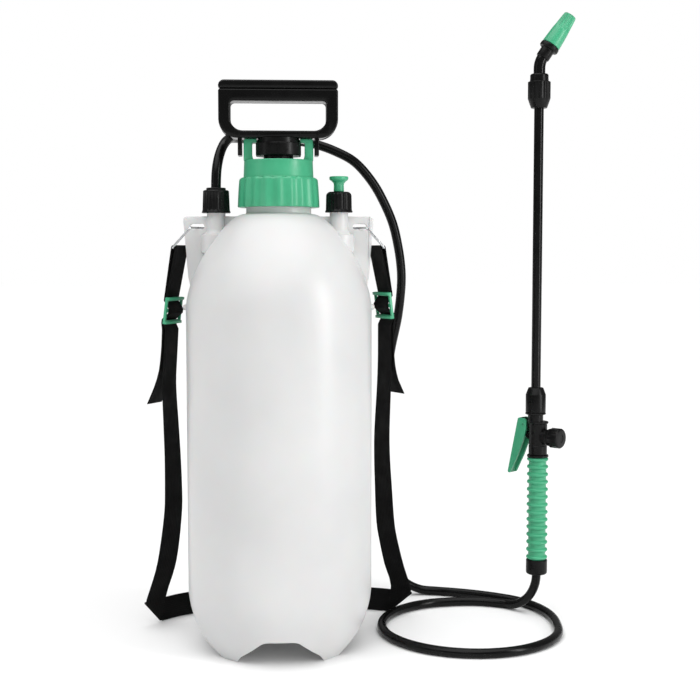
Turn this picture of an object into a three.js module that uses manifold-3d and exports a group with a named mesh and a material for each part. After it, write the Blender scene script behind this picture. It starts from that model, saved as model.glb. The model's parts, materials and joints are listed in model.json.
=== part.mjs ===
// Pump sprayer with shoulder strap, hose and lance. Millimetres, +Z up, the front faces -Y.
// X and Y below are measured from the tank's axis; the finished group is centred at the end.
import * as THREE from "three";
import { mergeVertices } from "three/addons/utils/BufferGeometryUtils.js";
import Module from "manifold-3d";

const wasm = await Module();
wasm.setup();

// ---------- driving dimensions ----------
// Clearances
const FIT = 0.3; // between pieces that touch or slide on each other
const TURN = 0.4; // between pieces that pass each other as they turn

// Tank
const TANK_R = 91.25;
const TANK_WALL = 2.5;
const BASE_ROUND_TOP = 62; // height at which the rounding under the wall ends
const BASE_TOP = 65; // the base piece ends here and the wall piece begins
const FOOT_R = 70; // outer radius of the foot pads on the floor
const SHOULDER_Z = 335; // the straight wall ends here
const DOME_Z = 429; // the dome meets the neck here
const NECK_R = 31.75;
const NECK_TOP = 458.7;
const NECK_ROOT = 431; // the neck piece stands on the shoulder from here
const MOUTH_R = 27;
const CHANNEL_HALF = 41; // half width of the crossing channels at the floor
const CHANNEL_H = 26;
const CHANNEL_TOP_HALF = 16.5; // half width of their flat roof
const TAB_X = 93; // outer end of each strap tab
const TAB_TOP = 427;
const TAB_FOOT_X = 88.5;
const TAB_FOOT_Z = 367;
const TAB_T = 5;
const SLOT_X = 79.3;
const SLOT_Z = 416.9;
const SLOT_L = 13.5;
const SLOT_H = 5.4;
const NUB_Z = 338;
const NUB_OUT = 3;
const NUB_R = 2.5;
const SPIGOT_R = 9;
const SPIGOT_BORE = 6.5;
const SPIGOT_TOP = 446;
const SPIGOT_ROOT = 380; // inside the shoulder
const OUTLET_X = -61;
const RELIEF_X = 59;

// Pump cap
const CAP_BOTTOM = 435.5;
const CAP_GRIP_TOP = 464.5;
const CAP_R_LOW = 40;
const CAP_R_HIGH = 38.3;
const CAP_RIBS = 20;
const CAP_COLLAR_R = 33.7;
const CAP_COLLAR_TOP = 481;
const LUG_IN = 25.6;
const LUG_OUT = 33.8;
const LUG_W = 14;
const LUG_TOP = 501.5;
const HOOK_REACH = 21;
const HOOK_T = 3.5;

// Pump
const BARREL_R = 19;
const BARREL_BORE = 17;
const BARREL_FOOT_Z = 110;
const FLANGE_R = 30;
const FLANGE_T = 2.5;
const SEAL_T = 1.2;
const SEAL_BORE = MOUTH_R - 1;
const BARREL_FILLET = Math.min(4, SEAL_BORE - FIT - BARREL_R); // under its flange, clear of the seal
const ROD_R = 6;
const PISTON_Z = 125;
const PISTON_H = 18;
const GUIDE_BOSS_R = 14.5;

// Handle
const HUB_Z = 485.4;
const HUB_R = 23.5;
const HANDLE_Z = 502;
const HANDLE_TOP = 549.1;
const HANDLE_HALF = 57.8;
const OPENING_HALF = 46.6;
const OPENING_Z = 509.2;
const OPENING_TOP = 537.6;
const HANDLE_DEPTH = 27;
const GRIP_TOP = 557.6;
const LEG_IN = 35.3;
const LEG_OUT = 39.4;

// Outlet and relief valve
const NUT_Z = 430;
const NUT_TOP = 452.3;
const NUT_R_LOW = 14.1;
const NUT_R_HIGH = 12.4;
const NUT_RIBS = 18;
const NUT_RING_R = 9.5;
const NUT_RING_TOP = 454.6;
const RELIEF_Z = 430.8;
const RELIEF_TOP = 451;
const RELIEF_STEM_R = 5.1;
const RELIEF_KNOB_R = 9.3;
const RELIEF_KNOB_TOP = 466;
const RELIEF_KNOB_Z = 458.5; // the head starts to flare here
const RELIEF_STEM_FOOT = 423;
const RELIEF_SEAT_Z = 422;
const RELIEF_SEAT_T = 4;
const RELIEF_SEAT_R = 2.4; // the vent hole
const DIP_TUBE_R = 4;
const DIP_TUBE_FOOT = 40;
const DIP_TUBE_NECK = 420; // above this the tube widens to fill the spigot
const DIP_TUBE_BORE = 1.6;
const STRAINER_FOOT = 31;
const STRAINER_R = 6.6;
const STRAINER_TOP = 48;

// Hose
const HOSE_R = 4.8;
const HOSE_BORE = 3.2;
const BARB_R = 2.6; // the hollow spigots the hose is pushed over
const LOOP_X = 196.5; // centre of the coil on the floor
const LOOP_Y = 32;
const LOOP_R = 91.5;
const RISE_Z = 458; // the hose leaves straight up to here
const LYING_Z = 5; // centre of the hose where it lies on the floor

// Handset: grip axis, and the lance axis a little to its left
const GRIP_X = 276;
const GRIP_Y = 80;
const LANCE_X = 273.2;
const GRIP_CAP_Z = 46.6;
const GRIP_CAP_R = 11.4;
const GRIP_Z = 62.8;
const GRIP_END = 174;
const GRIP_R = 9.3;
const GRIP_RING_R = 11.3;
const GRIP_RINGS = 14;
const VALVE_R = 9.8;
const VALVE_TOP = 212.2;
const VALVE_AXIS_Z = 196;
const KNOB_R = 10.7;
const KNOB_IN = 14;
const KNOB_OUT = 29;
const TRIGGER_W = 14;
const TRIGGER_PIN_X = -14.5;
const TRIGGER_PIN_Z = 208;
const TRIGGER_PIN_R = 1.5;
const TRIGGER_TIP_Z = 155;
const TRIGGER_YAW = -45; // degrees about Z: the trigger faces left and to the front

// Lance and nozzle
const NUT_FLANGE_Z = 219.8;
const LOWER_NUT_Z = 221.8;
const LOWER_NUT_TOP = 248.3;
const LOWER_NUT_R = 10.7;
const LANCE_R = 5;
const LANCE_BORE = 3.8;
const LANCE_FOOT = 237;
const LANCE_TOP = 560;
const LANCE_REACH = 17.2; // how far the lance runs into its upper nut
const UPPER_NUT_Z = LANCE_TOP - LANCE_REACH;
const UPPER_NUT_H = 35.6;
const UPPER_NUT_TOP = UPPER_NUT_Z + UPPER_NUT_H;
const UPPER_NUT_R = 12;
const ELBOW_R = 6.1;
const ELBOW_RISE = 12.1; // from the nut's end to the bend
const ELBOW_Z = UPPER_NUT_TOP + ELBOW_RISE;
const ELBOW_TILT = 33.6; // degrees from vertical, toward +X
const NOZZLE_LEN = 36.9;
const NOZZLE_R = 9.9;
const NOZZLE_TIP_R = 6.6;

// Strap, rings and buckles
const WEB_W = 25;
const WEB_T = 1.5;
const WIRE_R = 1.1;
const RING_W = 30;
const RING_FOOT_X = 97;
const RING_FOOT_Z = 396;
const BUCKLE_W = 32;
const BUCKLE_H = 26;
const BUCKLE_T = 2.4;
const BAR_H = 3.5;
const LIP_H = 2.8; // raised lips at the buckle's head and foot
const LIP_OUT = 1.6;

// ---------- materials ----------
// Colour, roughness and metalness of each material.
const FINISHES = {
  tank_white: [0xf4f4f2, 0.42, 0],
  part_green: [0x1fa971, 0.38, 0],
  part_black: [0x161616, 0.3, 0],
  hose_black: [0x101010, 0.45, 0],
  webbing_black: [0x1a1a1a, 0.8, 0],
  seal_rubber: [0x2a2a2a, 0.75, 0],
  steel_wire: [0xb8babd, 0.3, 1],
  valve_white: [0xe8e8e4, 0.5, 0],
};
const materials = {};
for (const [name, [color, roughness, metalness]] of Object.entries(FINISHES)) {
  materials[name] = new THREE.MeshStandardMaterial({ name, color, roughness, metalness });
}

// ---------- building helpers ----------
const deg = Math.PI / 180;
const V3 = (x, y, z) => new THREE.Vector3(x, y, z);
const V2 = (x, y) => new THREE.Vector2(x, y);

// A closed three.js geometry as a manifold solid, facing outwards.
function solid(geometry) {
  const bare = new THREE.BufferGeometry();
  const source = geometry.index ? geometry.toNonIndexed() : geometry;
  bare.setAttribute("position", source.getAttribute("position"));
  const merged = mergeVertices(bare, 1e-3);
  const from = merged.index.array;
  const faces = [];
  for (let i = 0; i < from.length; i += 3) {
    const [a, b, c] = [from[i], from[i + 1], from[i + 2]];
    if (a !== b && b !== c && c !== a) faces.push(a, b, c);
  }
  const build = (list) =>
    new wasm.Manifold(
      new wasm.Mesh({
        numProp: 3,
        vertProperties: new Float32Array(merged.attributes.position.array),
        triVerts: new Uint32Array(list),
      }),
    );
  const made = build(faces);
  if (made.volume() > 0) return made;
  for (let i = 0; i < faces.length; i += 3) {
    [faces[i + 1], faces[i + 2]] = [faces[i + 2], faces[i + 1]];
  }
  return build(faces);
}

function geometryOf(body) {
  const mesh = body.getMesh();
  const points = new Float32Array(mesh.numVert * 3);
  for (let i = 0; i < mesh.numVert; i++) {
    points.set(mesh.vertProperties.subarray(i * mesh.numProp, i * mesh.numProp + 3), i * 3);
  }
  const geometry = new THREE.BufferGeometry();
  geometry.setAttribute("position", new THREE.BufferAttribute(points, 3));
  geometry.setIndex(new THREE.BufferAttribute(new Uint32Array(mesh.triVerts), 1));
  geometry.computeVertexNormals();
  return geometry;
}

const group = new THREE.Group();
group.name = "pump_sprayer";

function add(name, body, material, parent = group) {
  const mesh = new THREE.Mesh(geometryOf(body), materials[material]);
  mesh.name = name;
  parent.add(mesh);
  return mesh;
}

// A frame inside another one, for pieces that share an axis.
function frameAt(x, y, z, parent = group) {
  const frame = new THREE.Group();
  frame.position.set(x, y, z);
  parent.add(frame);
  return frame;
}

const join = (...bodies) => bodies.reduce((a, b) => a.add(b));
const cut = (body, ...tools) => tools.reduce((a, b) => a.subtract(b), body);

// A profile of [radius, height] pairs turned about the Z axis. A profile that leaves the axis is closed.
function turned(profile, segments = 32) {
  const onAxis = profile[0][0] === 0 && profile[profile.length - 1][0] === 0;
  const ring = onAxis ? profile : [...profile, profile[0]];
  const lathe = new THREE.LatheGeometry(ring.map(([r, z]) => V2(r, z)), segments);
  return solid(lathe.rotateX(90 * deg));
}

const rod = (r, z0, z1, segments = 20) =>
  turned([[0, z0], [r, z0], [r, z1], [0, z1]], segments);

const pipe = (outer, inner, z0, z1, segments = 20) =>
  turned([[inner, z0], [outer, z0], [outer, z1], [inner, z1]], segments);

const box = (x0, x1, y0, y1, z0, z1) =>
  solid(
    new THREE.BoxGeometry(x1 - x0, y1 - y0, z1 - z0).translate((x0 + x1) / 2, (y0 + y1) / 2, (z0 + z1) / 2),
  );

// An outline of [x, y] pairs pushed up along Z from z0 to z1.
function prism(outline, z0, z1, holes = []) {
  const shape = new THREE.Shape(outline.map(([x, y]) => V2(x, y)));
  shape.holes = holes.map((hole) => new THREE.Path(hole.map(([x, y]) => V2(x, y))));
  const pushed = new THREE.ExtrudeGeometry(shape, { depth: z1 - z0, bevelEnabled: false });
  return solid(pushed.translate(0, 0, z0));
}

// An outline of [x, z] pairs with the thickness along Y, centred on y.
const plate = (outline, thickness, y = 0, holes = []) =>
  prism(outline, -thickness / 2, thickness / 2, holes).rotate([90, 0, 0]).translate([0, y, 0]);

// A rounded rectangle as [x, y] pairs, one corner radius for the top pair and one for the bottom pair.
function roundedRect(x0, x1, y0, y1, bottomR, topR, steps = 5) {
  const corners = [
    [x1 - bottomR, y0 + bottomR, bottomR, -90],
    [x1 - topR, y1 - topR, topR, 0],
    [x0 + topR, y1 - topR, topR, 90],
    [x0 + bottomR, y0 + bottomR, bottomR, 180],
  ];
  const points = [];
  for (const [cx, cy, r, start] of corners) {
    for (let i = 0; i <= steps; i++) {
      const a = (start + (90 * i) / steps) * deg;
      points.push([cx + r * Math.cos(a), cy + r * Math.sin(a)]);
    }
  }
  return points;
}

// A ribbed outline: rounded ribs of the given depth around a circle.
function ribbedOutline(r, depth, count, perRib = 4) {
  const points = [];
  for (let i = 0; i < count * perRib; i++) {
    const a = (i / (count * perRib)) * 360 * deg;
    const wave = Math.pow(Math.abs(Math.cos((count * a) / 2)), 0.6);
    const radius = r - depth * (1 - wave);
    points.push([radius * Math.cos(a), radius * Math.sin(a)]);
  }
  return points;
}

// A round wire or hose along a smooth route; a bore makes it a pipe.
function tube(points, r, steps, sides, bore = 0) {
  const shape = new THREE.Shape();
  shape.absarc(0, 0, r, 0, 360 * deg, false);
  if (bore > 0) {
    const hole = new THREE.Path();
    hole.absarc(0, 0, bore, 0, 360 * deg, true);
    shape.holes.push(hole);
  }
  const route = new THREE.CatmullRomCurve3(points, false, "centripetal");
  const options = { steps, curveSegments: sides / 2, bevelEnabled: false, extrudePath: route };
  return solid(new THREE.ExtrudeGeometry(shape, options));
}

// A band through stations {left, right, face}: two edge points and the direction its thickness takes.
function ribbon(stations, thickness) {
  const points = [];
  for (const { left, right, face } of stations) {
    const half = face.clone().multiplyScalar(thickness / 2);
    for (const p of [
      left.clone().add(half),
      right.clone().add(half),
      right.clone().sub(half),
      left.clone().sub(half),
    ]) {
      points.push(p.x, p.y, p.z);
    }
  }
  const faces = [0, 1, 2, 0, 2, 3];
  for (let s = 0; s + 1 < stations.length; s++) {
    for (let k = 0; k < 4; k++) {
      const a = 4 * s + k;
      const b = 4 * s + ((k + 1) % 4);
      faces.push(a, a + 4, b + 4, a, b + 4, b);
    }
  }
  const last = 4 * (stations.length - 1);
  faces.push(last, last + 2, last + 1, last, last + 3, last + 2);
  const geometry = new THREE.BufferGeometry();
  geometry.setAttribute("position", new THREE.BufferAttribute(new Float32Array(points), 3));
  geometry.setIndex(faces);
  return solid(geometry);
}

const dome = (inset) => {
  const curve = new THREE.CubicBezierCurve(
    V2(NECK_R + 2.25 - inset, DOME_Z - inset),
    V2(52, DOME_Z - inset),
    V2(TANK_R - inset, SHOULDER_Z + 37),
    V2(TANK_R - inset, SHOULDER_Z),
  );
  return curve.getPoints(8).map((p) => [p.x, p.y]);
};

const baseRound = (inset) => {
  const curve = new THREE.CubicBezierCurve(
    V2(FOOT_R - inset, inset),
    V2(FOOT_R + 8 - inset, inset + 12),
    V2(TANK_R - inset, BASE_ROUND_TOP - 26),
    V2(TANK_R - inset, BASE_ROUND_TOP),
  );
  return curve.getPoints(7).map((p) => [p.x, p.y]);
};

// ---------- tank ----------
function channels(grow, drop) {
  // The arch between the feet, widened by grow for the floor of the cavity above it.
  const half = [
    [CHANNEL_HALF + grow, -drop],
    [CHANNEL_HALF - 3 + grow, 6.5 + grow],
    [CHANNEL_TOP_HALF + grow, CHANNEL_H - 1 + grow],
    [CHANNEL_TOP_HALF - 4, CHANNEL_H + grow],
  ];
  const outline = [...half, ...half.map(([x, z]) => [-x, z]).reverse()];
  const along = plate(outline, 2 * TANK_R + 20);
  return join(along, along.rotate([0, 0, 90]));
}

function strapTab(side) {
  const outline = [
    [20, TAB_TOP],
    [20, SHOULDER_Z + 10],
    [80, SHOULDER_Z + 10],
    [TAB_FOOT_X, TAB_FOOT_Z],
    [TAB_X, TAB_TOP - 4],
    [TAB_X - 1.2, TAB_TOP - 1.2],
    [TAB_X - 4, TAB_TOP],
  ];
  const [w, h] = [SLOT_L / 2, SLOT_H / 2];
  const slot = roundedRect(SLOT_X - w, SLOT_X + w, SLOT_Z - h, SLOT_Z + h, h - 0.1, h - 0.1, 4);
  const whole = plate(outline, TAB_T, 0, [slot.reverse()]);
  return side > 0 ? whole : whole.mirror([1, 0, 0]);
}

function makeTank() {
  const outer = turned(
    [
      [0, 0],
      ...baseRound(0),
      ...dome(0).reverse(),
      [NECK_R, DOME_Z + 2],
      [NECK_R, NECK_TOP],
      [0, NECK_TOP],
    ],
    36,
  );
  const cavity = turned(
    [
      [0, TANK_WALL],
      ...baseRound(TANK_WALL),
      ...dome(TANK_WALL).reverse(),
      [MOUTH_R, DOME_Z + 2],
      [MOUTH_R, NECK_TOP + 1],
      [0, NECK_TOP + 1],
    ],
    36,
  );
  const spigot = (x) => rod(SPIGOT_R, SPIGOT_ROOT, SPIGOT_TOP).translate([x, 0, 0]);
  const bore = (x) => rod(SPIGOT_BORE, SPIGOT_ROOT - 10, SPIGOT_TOP + 1).translate([x, 0, 0]);
  const nub = (side) =>
    rod(NUB_R, TANK_R - 2, TANK_R + NUB_OUT, 12)
      .rotate([0, 90 * side, 0])
      .translate([0, 0, NUB_Z]);
  const shell = join(outer, strapTab(1), strapTab(-1), spigot(OUTLET_X), spigot(RELIEF_X), nub(1), nub(-1));
  const inside = cut(cavity, channels(TANK_WALL, 1));
  return cut(shell, inside, channels(0, 1), bore(OUTLET_X), bore(RELIEF_X));
}

// The tank is one blow moulding, given as four pieces that meet in flat rings.
function addTank() {
  const whole = makeTank();
  const wide = 2 * TANK_R;
  const slice = (z0, z1) => whole.intersect(box(-wide, wide, -wide, wide, z0, z1));
  const neckZone = rod(NECK_R + 5, NECK_ROOT, NECK_TOP + 1);
  add("tank_base", slice(-1, BASE_TOP), "tank_white");
  add("tank_wall", slice(BASE_TOP, SHOULDER_Z), "tank_white");
  add("tank_shoulder", cut(slice(SHOULDER_Z, NECK_TOP + 1), neckZone), "tank_white");
  add("tank_neck", whole.intersect(neckZone), "tank_white");
}
addTank();

// ---------- pump cap ----------
const FLANGE_Z = NECK_TOP + FIT + SEAL_T + FIT; // underside of the barrel flange
const FLANGE_TOP = FLANGE_Z + FLANGE_T;
const GUIDE_FLANGE_TOP = FLANGE_TOP + FIT + 3;

function makePumpCap() {
  const grip = prism(ribbedOutline(CAP_R_LOW, 1.6, CAP_RIBS), CAP_BOTTOM, CAP_GRIP_TOP);
  const envelope = turned([
    [0, CAP_BOTTOM],
    [CAP_R_LOW, CAP_BOTTOM],
    [CAP_R_HIGH, CAP_GRIP_TOP - 3.5],
    [CAP_R_HIGH - 1, CAP_GRIP_TOP - 1],
    [CAP_R_HIGH - 3, CAP_GRIP_TOP],
    [0, CAP_GRIP_TOP],
  ], 32);
  const collar = turned([
    [0, CAP_GRIP_TOP - 1],
    [CAP_COLLAR_R + 0.3, CAP_GRIP_TOP - 1],
    [CAP_COLLAR_R - 0.3, CAP_COLLAR_TOP],
    [0, CAP_COLLAR_TOP],
  ], 32);
  const rootZ = CAP_COLLAR_TOP - 0.5;
  const lug = join(
    box(LUG_IN, LUG_OUT, -LUG_W / 2, LUG_W / 2, CAP_COLLAR_TOP - 1, LUG_TOP),
    box(HOOK_REACH, LUG_OUT, -LUG_W / 2, LUG_W / 2, LUG_TOP - HOOK_T, LUG_TOP),
    plate([[LUG_IN - 3, rootZ], [LUG_OUT - 1, rootZ], [LUG_IN, CAP_COLLAR_TOP + 5]], LUG_W),
  );
  const thread = rod(NECK_R + 0.6, CAP_BOTTOM - 1, FLANGE_TOP + FIT, 32);
  const hollow = rod(CAP_COLLAR_R - 3, FLANGE_TOP, CAP_COLLAR_TOP - 3, 32);
  const mouth = rod(GUIDE_BOSS_R + TURN, CAP_GRIP_TOP, CAP_COLLAR_TOP + 1, 24);
  const body = join(grip.intersect(envelope), collar, lug, lug.rotate([0, 0, 180]));
  return cut(body, thread, hollow, mouth);
}

add("pump_cap", makePumpCap(), "part_green");

// ---------- pump ----------
add("cap_seal", pipe(NECK_R - 0.5, SEAL_BORE, NECK_TOP + FIT, NECK_TOP + FIT + SEAL_T, 24), "seal_rubber");

function makeBarrel() {
  return turned([
    [BARREL_BORE, BARREL_FOOT_Z],
    [BARREL_R, BARREL_FOOT_Z],
    [BARREL_R, FLANGE_Z - BARREL_FILLET],
    [BARREL_R + BARREL_FILLET, FLANGE_Z],
    [FLANGE_R, FLANGE_Z],
    [FLANGE_R, FLANGE_TOP],
    [BARREL_BORE, FLANGE_TOP],
  ], 28);
}
add("pump_barrel", makeBarrel(), "part_black");

// The foot closes the barrel; air leaves through its ports past the rubber disc below.
function makeBarrelFoot() {
  const body = turned([
    [1.6, BARREL_FOOT_Z - FIT - 5],
    [BARREL_R, BARREL_FOOT_Z - FIT - 5],
    [BARREL_R, BARREL_FOOT_Z - FIT],
    [BARREL_BORE - FIT, BARREL_FOOT_Z - FIT],
    [BARREL_BORE - FIT, BARREL_FOOT_Z + 8],
    [1.6, BARREL_FOOT_Z + 8],
  ], 24);
  const ports = [];
  for (let i = 0; i < 4; i++) {
    ports.push(rod(2, 90, 130, 10).translate([7, 0, 0]).rotate([0, 0, 90 * i]));
  }
  return cut(body, ...ports);
}
add("barrel_foot", makeBarrelFoot(), "part_black");

const DISC_TOP = BARREL_FOOT_Z - FIT - 5 - FIT;
const DISC_STEM_TOP = BARREL_FOOT_Z + 10.5;
add(
  "foot_valve_disc",
  turned([
    [0, DISC_TOP - 1.5],
    [12, DISC_TOP - 1],
    [12, DISC_TOP],
    [1.3, DISC_TOP],
    [1.3, BARREL_FOOT_Z + 8.4],
    [2.4, BARREL_FOOT_Z + 8.4],
    [1.2, DISC_STEM_TOP],
    [0, DISC_STEM_TOP],
  ], 24),
  "seal_rubber",
);

// The guide plugs the top of the barrel and centres the rod; its boss passes up through the cap.
add(
  "rod_guide",
  turned([
    [ROD_R + FIT, FLANGE_TOP - 12],
    [BARREL_BORE - FIT, FLANGE_TOP - 12],
    [BARREL_BORE - FIT, FLANGE_TOP + FIT],
    [BARREL_R, FLANGE_TOP + FIT],
    [BARREL_R, GUIDE_FLANGE_TOP],
    [GUIDE_BOSS_R, GUIDE_FLANGE_TOP],
    [GUIDE_BOSS_R, HUB_Z - FIT],
    [ROD_R + FIT, HUB_Z - FIT],
  ], 24),
  "part_black",
);

const PISTON_TOP = PISTON_Z + PISTON_H;
const GROOVE_Z = PISTON_Z + 4.5;
const GROOVE_TOP = PISTON_Z + 12.5;
const ROD_FOOT = PISTON_Z + 3;
add(
  "piston_head",
  turned([
    [0, PISTON_Z],
    [BARREL_BORE - 0.5, PISTON_Z],
    [BARREL_BORE - 0.5, GROOVE_Z],
    [13.7, GROOVE_Z],
    [13.7, GROOVE_TOP],
    [BARREL_BORE - 0.5, GROOVE_TOP],
    [BARREL_BORE - 0.5, PISTON_TOP],
    [ROD_R + FIT, PISTON_TOP],
    [ROD_R + FIT, ROD_FOOT - FIT],
    [0, ROD_FOOT - FIT],
  ], 24),
  "part_black",
);
add("piston_cup", pipe(BARREL_BORE - 0.2, 14, GROOVE_Z + FIT, GROOVE_TOP - FIT, 24), "seal_rubber");

// ---------- pump handle ----------
const PIN_R = 1.6;
const PIN_Z = HUB_Z + 8;
const HUB_NECK_R = HOOK_REACH - TURN; // above and beside the hooks
const HUB_LOCK_TOP = LUG_TOP - HOOK_T - TURN; // what turns in under the hooks
const ROD_TOP = HANDLE_Z - 3;
const crossRod = (r, half) => rod(r, -half, half, 12).rotate([90, 0, 0]).translate([0, 0, PIN_Z]);

add(
  "piston_rod",
  cut(rod(ROD_R, ROD_FOOT, ROD_TOP), crossRod(PIN_R + FIT, ROD_R + 5)),
  "steel_wire",
);

function makeHandle() {
  const outline = roundedRect(-HANDLE_HALF, HANDLE_HALF, HANDLE_Z, HANDLE_TOP, 18, 2);
  const opening = roundedRect(-OPENING_HALF, OPENING_HALF, OPENING_Z, OPENING_TOP, 12, 4).reverse();
  const frame = plate(outline, HANDLE_DEPTH, 0, [opening]);
  const lower = rod(HUB_R, HUB_Z, HUB_LOCK_TOP, 32);
  const notch = box(HUB_NECK_R, HUB_R + 2, -LUG_W / 2 - 1, LUG_W / 2 + 1, HUB_Z - 1, HUB_LOCK_TOP + 1);
  const neck = rod(HUB_NECK_R, HUB_Z, HANDLE_Z + 1, 32);
  const leg = box(LEG_IN, LEG_OUT, -9, 9, HUB_Z, HANDLE_Z + 8);
  const hub = join(cut(lower, notch, notch.mirror([1, 0, 0])), neck);
  const bore = rod(ROD_R + FIT, HUB_Z - 1, ROD_TOP + FIT);
  const pinHole = crossRod(PIN_R + FIT, HUB_R + 5);
  return cut(join(frame, hub, leg, leg.mirror([1, 0, 0])), bore, pinHole);
}
add("pump_handle", makeHandle(), "part_black");
add(
  "handle_grip",
  plate(roundedRect(-HANDLE_HALF, HANDLE_HALF, HANDLE_TOP + FIT, GRIP_TOP, 1.5, 5), HANDLE_DEPTH),
  "part_black",
);
add("handle_pin", crossRod(PIN_R, HUB_R - 1), "steel_wire");

// ---------- outlet ----------
const outlet = frameAt(OUTLET_X, 0, 0);

function ribbedNut(z0, top, rLow, rHigh, boreTop, holeR) {
  const grip = prism(ribbedOutline(rLow, 0.7, NUT_RIBS, 4), z0, top);
  const envelope = turned([
    [0, z0],
    [rLow, z0],
    [rLow - 0.8, z0 + 2.5],
    [rHigh + 0.4, top - 2.5],
    [rHigh - 1.4, top],
    [0, top],
  ], 24);
  const thread = rod(SPIGOT_R + TURN, z0 - 1, boreTop);
  return cut(grip.intersect(envelope), thread, rod(holeR, z0, top + 5));
}

const OUTLET_SEAL_TOP = SPIGOT_TOP + FIT + 1;
function makeOutletNut() {
  const ring = pipe(NUT_RING_R, HOSE_R + FIT, NUT_TOP - 1, NUT_RING_TOP);
  return join(ribbedNut(NUT_Z, NUT_TOP, NUT_R_LOW, NUT_R_HIGH, OUTLET_SEAL_TOP + 2, HOSE_R + FIT), ring);
}
add("outlet_nut", makeOutletNut(), "part_black", outlet);
add(
  "outlet_seal",
  pipe(SPIGOT_R - 0.2, SPIGOT_BORE - 1, SPIGOT_TOP + FIT, OUTLET_SEAL_TOP),
  "seal_rubber",
  outlet,
);

// The dip tube hangs in the spigot bore; its upper end is the barb that the hose is pushed over.
const HOSE_START = OUTLET_SEAL_TOP + 2;
function makeDipTube() {
  return turned([
    [DIP_TUBE_BORE, DIP_TUBE_FOOT],
    [DIP_TUBE_R, DIP_TUBE_FOOT],
    [DIP_TUBE_R, DIP_TUBE_NECK],
    [SPIGOT_BORE - 1.2, DIP_TUBE_NECK + 1.2],
    [SPIGOT_BORE - 1.2, OUTLET_SEAL_TOP + FIT],
    [SPIGOT_R - 0.4, OUTLET_SEAL_TOP + FIT],
    [SPIGOT_R - 0.4, HOSE_START - FIT],
    [BARB_R, HOSE_START - FIT],
    [BARB_R, HOSE_START + 7],
    [DIP_TUBE_BORE, HOSE_START + 7],
  ], 20);
}
add("dip_tube", makeDipTube(), "valve_white", outlet);

function makeStrainer() {
  const body = turned([
    [0, STRAINER_FOOT],
    [STRAINER_R - 1.2, STRAINER_FOOT],
    [STRAINER_R, STRAINER_FOOT + 1.5],
    [STRAINER_R, STRAINER_TOP],
    [DIP_TUBE_R + FIT, STRAINER_TOP],
    [DIP_TUBE_R + FIT, DIP_TUBE_FOOT - FIT],
    [0, DIP_TUBE_FOOT - FIT],
  ], 20);
  const reach = STRAINER_R + 1;
  const slots = [];
  for (let i = 0; i < 3; i++) {
    const slot = box(-reach, reach, -0.8, 0.8, STRAINER_FOOT + 2.5, DIP_TUBE_FOOT - 1.5);
    slots.push(slot.rotate([0, 0, 60 * i]));
  }
  return cut(body, join(...slots));
}
add("intake_strainer", makeStrainer(), "valve_white", outlet);

// ---------- relief valve ----------
const relief = frameAt(RELIEF_X, 0, 0);
const SEAT_TOP = SPIGOT_TOP + FIT + 1;
const RELIEF_CAP_R = 13.65;
const STEM_R = 1.8;
add(
  "relief_cap",
  ribbedNut(RELIEF_Z, RELIEF_TOP, RELIEF_CAP_R, RELIEF_CAP_R - 1.3, SEAT_TOP + 2 * FIT, STEM_R + TURN),
  "part_black",
  relief,
);

const SEAT_FLOOR = RELIEF_SEAT_Z + RELIEF_SEAT_T;
function makeReliefSeat() {
  return turned([
    [RELIEF_SEAT_R, RELIEF_SEAT_Z],
    [SPIGOT_BORE - FIT, RELIEF_SEAT_Z],
    [SPIGOT_BORE - FIT, SPIGOT_TOP + FIT],
    [SPIGOT_R - 0.3, SPIGOT_TOP + FIT],
    [SPIGOT_R - 0.3, SEAT_TOP],
    [4.6, SEAT_TOP],
    [4.6, SEAT_FLOOR],
    [RELIEF_SEAT_R, SEAT_FLOOR],
  ], 24);
}
add("relief_seat", makeReliefSeat(), "valve_white", relief);

const DISC_Z = SEAT_FLOOR + FIT;
const RELIEF_DISC_TOP = DISC_Z + 2.4;
const SPRING_TOP = SEAT_TOP - 0.6;
add("relief_disc", pipe(4.2, STEM_R + FIT, DISC_Z, RELIEF_DISC_TOP, 20), "seal_rubber", relief);

function makeReliefKnob() {
  return turned([
    [0, RELIEF_STEM_FOOT],
    [STEM_R, RELIEF_STEM_FOOT],
    [STEM_R, RELIEF_TOP + FIT],
    [RELIEF_STEM_R, RELIEF_TOP + FIT],
    [RELIEF_STEM_R, RELIEF_KNOB_Z],
    [RELIEF_KNOB_R - 2.3, RELIEF_KNOB_Z + 2.5],
    [RELIEF_KNOB_R, RELIEF_KNOB_Z + 4.5],
    [RELIEF_KNOB_R, RELIEF_KNOB_TOP - 0.8],
    [RELIEF_KNOB_R - 0.9, RELIEF_KNOB_TOP],
    [0, RELIEF_KNOB_TOP],
  ], 24);
}
add("relief_knob", makeReliefKnob(), "part_green", relief);

function coil(r, wire, z0, z1, turns, perTurn = 10) {
  const points = [];
  for (let i = 0; i <= turns * perTurn; i++) {
    const a = (i / perTurn) * 360 * deg;
    const z = z0 + wire + ((z1 - z0 - 2 * wire) * i) / (turns * perTurn);
    points.push(V3(r * Math.cos(a), r * Math.sin(a), z));
  }
  return tube(points, wire, turns * perTurn, 4);
}
add("relief_spring", coil(3.2, 0.45, RELIEF_DISC_TOP + FIT, SPRING_TOP, 5), "steel_wire", relief);

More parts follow.
